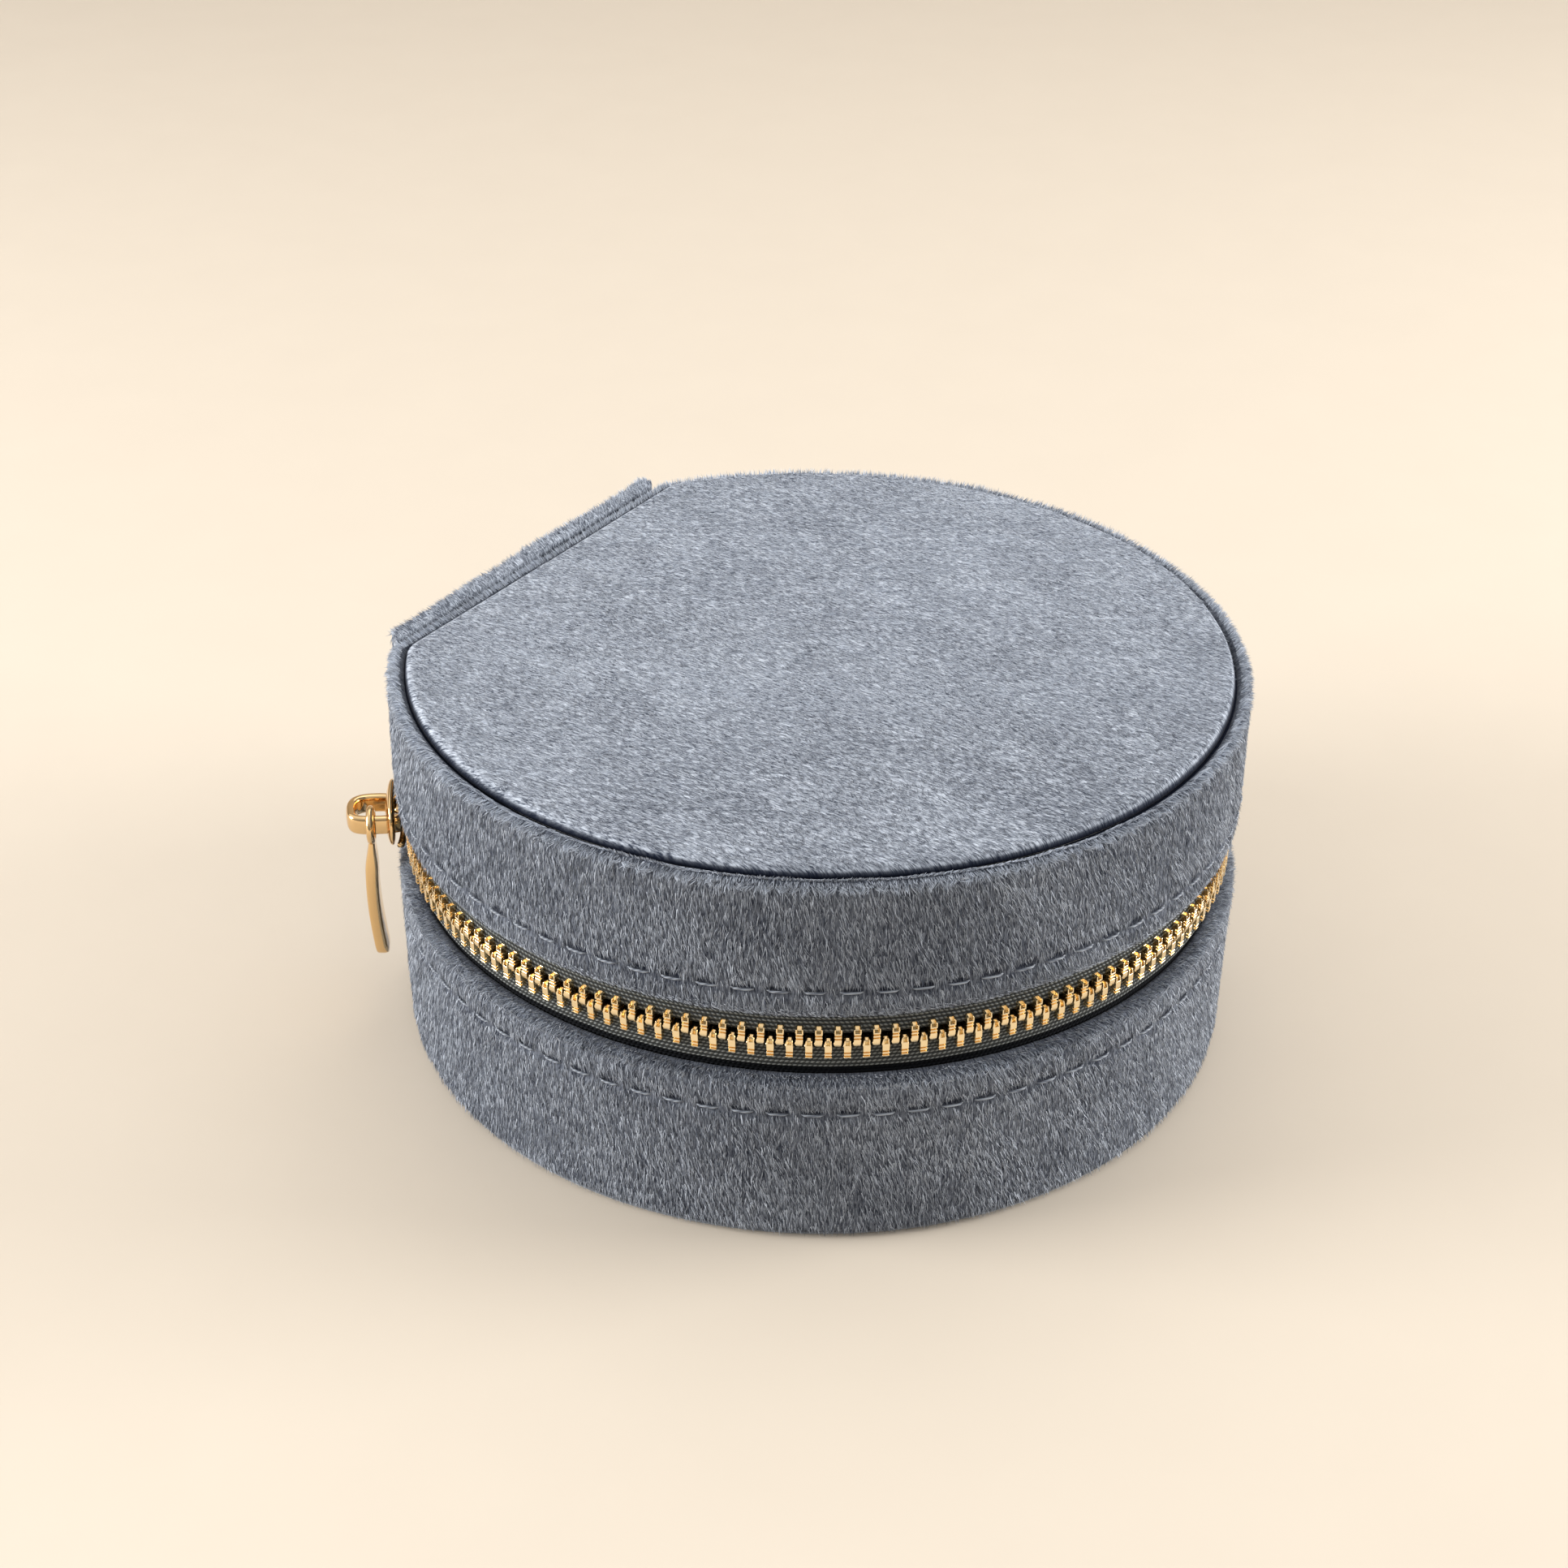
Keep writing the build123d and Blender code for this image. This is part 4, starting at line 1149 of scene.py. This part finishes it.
def floor_pad():
    """The padded floor: rings that shrink from the wall's plan to a middle point, sinking a little towards
    the wall, with slow swells."""
    low, high = node_box("base_floor_pad")
    count = 260
    edge, _, _ = outline(np.arange(count) / count, RADIUS - high[0] + 0.02, 1.6)
    radial = 1 - (1 - np.linspace(0.02, 1.0, 60)) ** 1.2
    under = [0.99, 0.5, 0.2]
    plan = shrinking(edge, radial, under)
    drop = np.clip(1 - (1 - radial) * 50 / 1.2, 0, 1)
    x, y = plan[:, : len(radial), 0], plan[:, : len(radial), 1]
    top = high[2] - 0.55 * drop**2 - 0.07 + lattice_noise(x / 11.0, y / 11.0, 83) * 0.07
    z = np.concatenate([top, np.full((count, len(under)), low[2])], 1)
    piece = polar_piece("base_floor_cushion", raised(plan, z))
    stands_for(piece, "base", lining_cloth, "lining_suede", "base_floor_pad")


def inner_strip():
    """The lining's own strip over the inside of the hinge: a thin slab with rolled edges."""
    low, high = node_box("hinge_inner_strip")
    near, far, bottom, top = low[1], high[1], low[2], high[2]
    corners = [(near, bottom + 0.4), (near + 0.25, bottom), (far, bottom + 0.3), (far, top - 0.3)]
    corners += [(near + 0.25, top), (near, top - 0.4), (near, bottom + 0.4)]
    section = evenly(softened(corners, 2), 0.4)[:-1]
    x = np.linspace(-high[0], high[0], 90)
    across, index = np.meshgrid(x, np.arange(len(section)), indexing="ij")
    y, z = section[index][..., 0], section[index][..., 1]
    swell = lattice_noise(across / 9.0, z / 5.0, 97) * 0.08
    piece = outward(bar("hinge_inner_cloth", np.stack([across, y + swell, z], -1)))
    stands_for(piece, None, lining_cloth, "lining_suede", "hinge_inner_strip")
    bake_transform(piece)


# ---- stage ----
LOOK = (0.8429, 0.5380)


def stage():
    """A pale floor that curves up into a backdrop behind the camera's view, soft lamps and a pale sky."""
    profile = softened([(-2600, 0), (700, 0), (1000, 0), (1000, 300), (1000, 900)], 4)
    side = np.linspace(-2200, 2200, 12)[:, None, None]
    plan = profile[:, :1] * np.array(LOOK) + side * np.array([LOOK[1], -LOOK[0]])
    floor = grid_piece("floor", raised(plan, profile[:, 1]), (False, False))
    floor.data.materials.append(floor_finish("pale_floor"))
    world = bpy.data.worlds.new("sky")
    bpy.context.scene.world = world
    world.use_nodes = True
    tree = world.node_tree
    background = tree.nodes["Background"]
    above = tree.nodes.new("ShaderNodeVectorMath")
    above.operation = "DOT_PRODUCT"
    above.inputs[1].default_value = (0.46, 0.29, 0.84)
    tree.links.new(tree.nodes.new("ShaderNodeTexCoord").outputs["Generated"], above.inputs[0])
    ramp = tree.nodes.new("ShaderNodeMapRange")
    for slot, value in zip(ramp.inputs[1:5], (-0.7, 0.9, 0.08, 1.12)):
        slot.default_value = value
    tree.links.new(above.outputs["Value"], ramp.inputs[0])
    tree.links.new(ramp.outputs[0], background.inputs["Strength"])
    background.inputs["Color"].default_value = (1.0, 0.975, 0.945, 1)
    lamp("overhead", (230, 60, 560), (10, 0, 20), 460, 0.5)
    lamp("left_fill", (-450, 545, 230), (0, 0, 25), 420, 6.8)
    lamp("right_fill", (450, -555, 230), (0, 0, 25), 420, 6.1)


def lamp(name, place, target, size, power):
    """A soft round lamp at a place, turned to a target."""
    light = bpy.data.lights.new(name, "AREA")
    light.shape = "DISK"
    light.size = size * MM
    light.energy = power
    light.color = (1.0, 0.985, 0.965)
    piece = linked(name, light)
    piece.location = Vector(place) * MM
    piece.rotation_euler = (Vector(target) - Vector(place)).to_track_quat("-Z", "Y").to_euler()


def camera():
    """Level with a seated eye, in front and to the left of the case, rolled by two thirds of a degree."""
    pitch, roll = math.radians(31.24), math.radians(0.677)
    forward = Vector((*LOOK, 0)).normalized() * math.cos(pitch) - Vector((0, 0, math.sin(pitch)))
    right = forward.cross(Vector((0, 0, 1))).normalized()
    up = right.cross(forward)
    turned_right = right * math.cos(roll) + up * math.sin(roll)
    turned_up = up * math.cos(roll) - right * math.sin(roll)
    data = bpy.data.cameras.new("camera")
    data.lens = 62.5
    data.sensor_width = 36
    data.clip_start = 0.01
    piece = linked("camera", data)
    rotation = Matrix((turned_right, turned_up, -forward)).transposed().to_4x4()
    piece.matrix_world = Matrix.Translation(Vector((-249.1, -154.0, 207.0)) * MM) @ rotation
    bpy.context.scene.camera = piece


camera()
stage()
bpy.context.scene.view_settings.view_transform = "Standard"
bpy.context.scene.view_settings.look = "None"

lid_wall()
base_wall()
top_panel()
hinge_strip()
seam_cord()
tooth_row("lower_teeth", -1, "base", "lower_zip_teeth")
tooth_row("upper_teeth", 1, "lid", "upper_zip_teeth")
tape_piece("lower_tape", -1, "base", "lower_zip_tape")
tape_piece("upper_tape", 1, "lid", "upper_zip_tape")
slider_body()
bridge()
pull()

ring_rolls()
for node in ("cross_divider", "front_divider", "side_divider_left", "side_divider_right"):
    divider(node)
floor_pad()
inner_strip()
rounded_copy("base_lining", "base", lining_cloth, "lining_suede", 0.2)
rounded_copy("lid_lining", "lid", lining_cloth, "lining_suede", 0.2)
rounded_copy("mirror_frame", "lid", lining_cloth, "lining_suede", 0.35, 3)
rounded_copy("mirror", "lid", mirror_finish("silvered_glass"), "mirror_glass", 0.12)
rounded_copy("base_bottom_cover", "base", cover_cloth, "velvet_blue_grey", 0.3)

# parts that stay as they are: boards and foam under the cloth, and the zip's stops
hidden_finishes = {
    "grey_board": board_finish("grey_board"),
    "foam": foam_finish("white_foam"),
    "zip_metal": zip_gold,
}
for entry in frame["record"]["subparts"]:
    node = frame["nodes"][entry["node"]]
    node.data.materials.clear()
    node.data.materials.append(hidden_finishes.get(entry["material_slot"], lining_cloth))
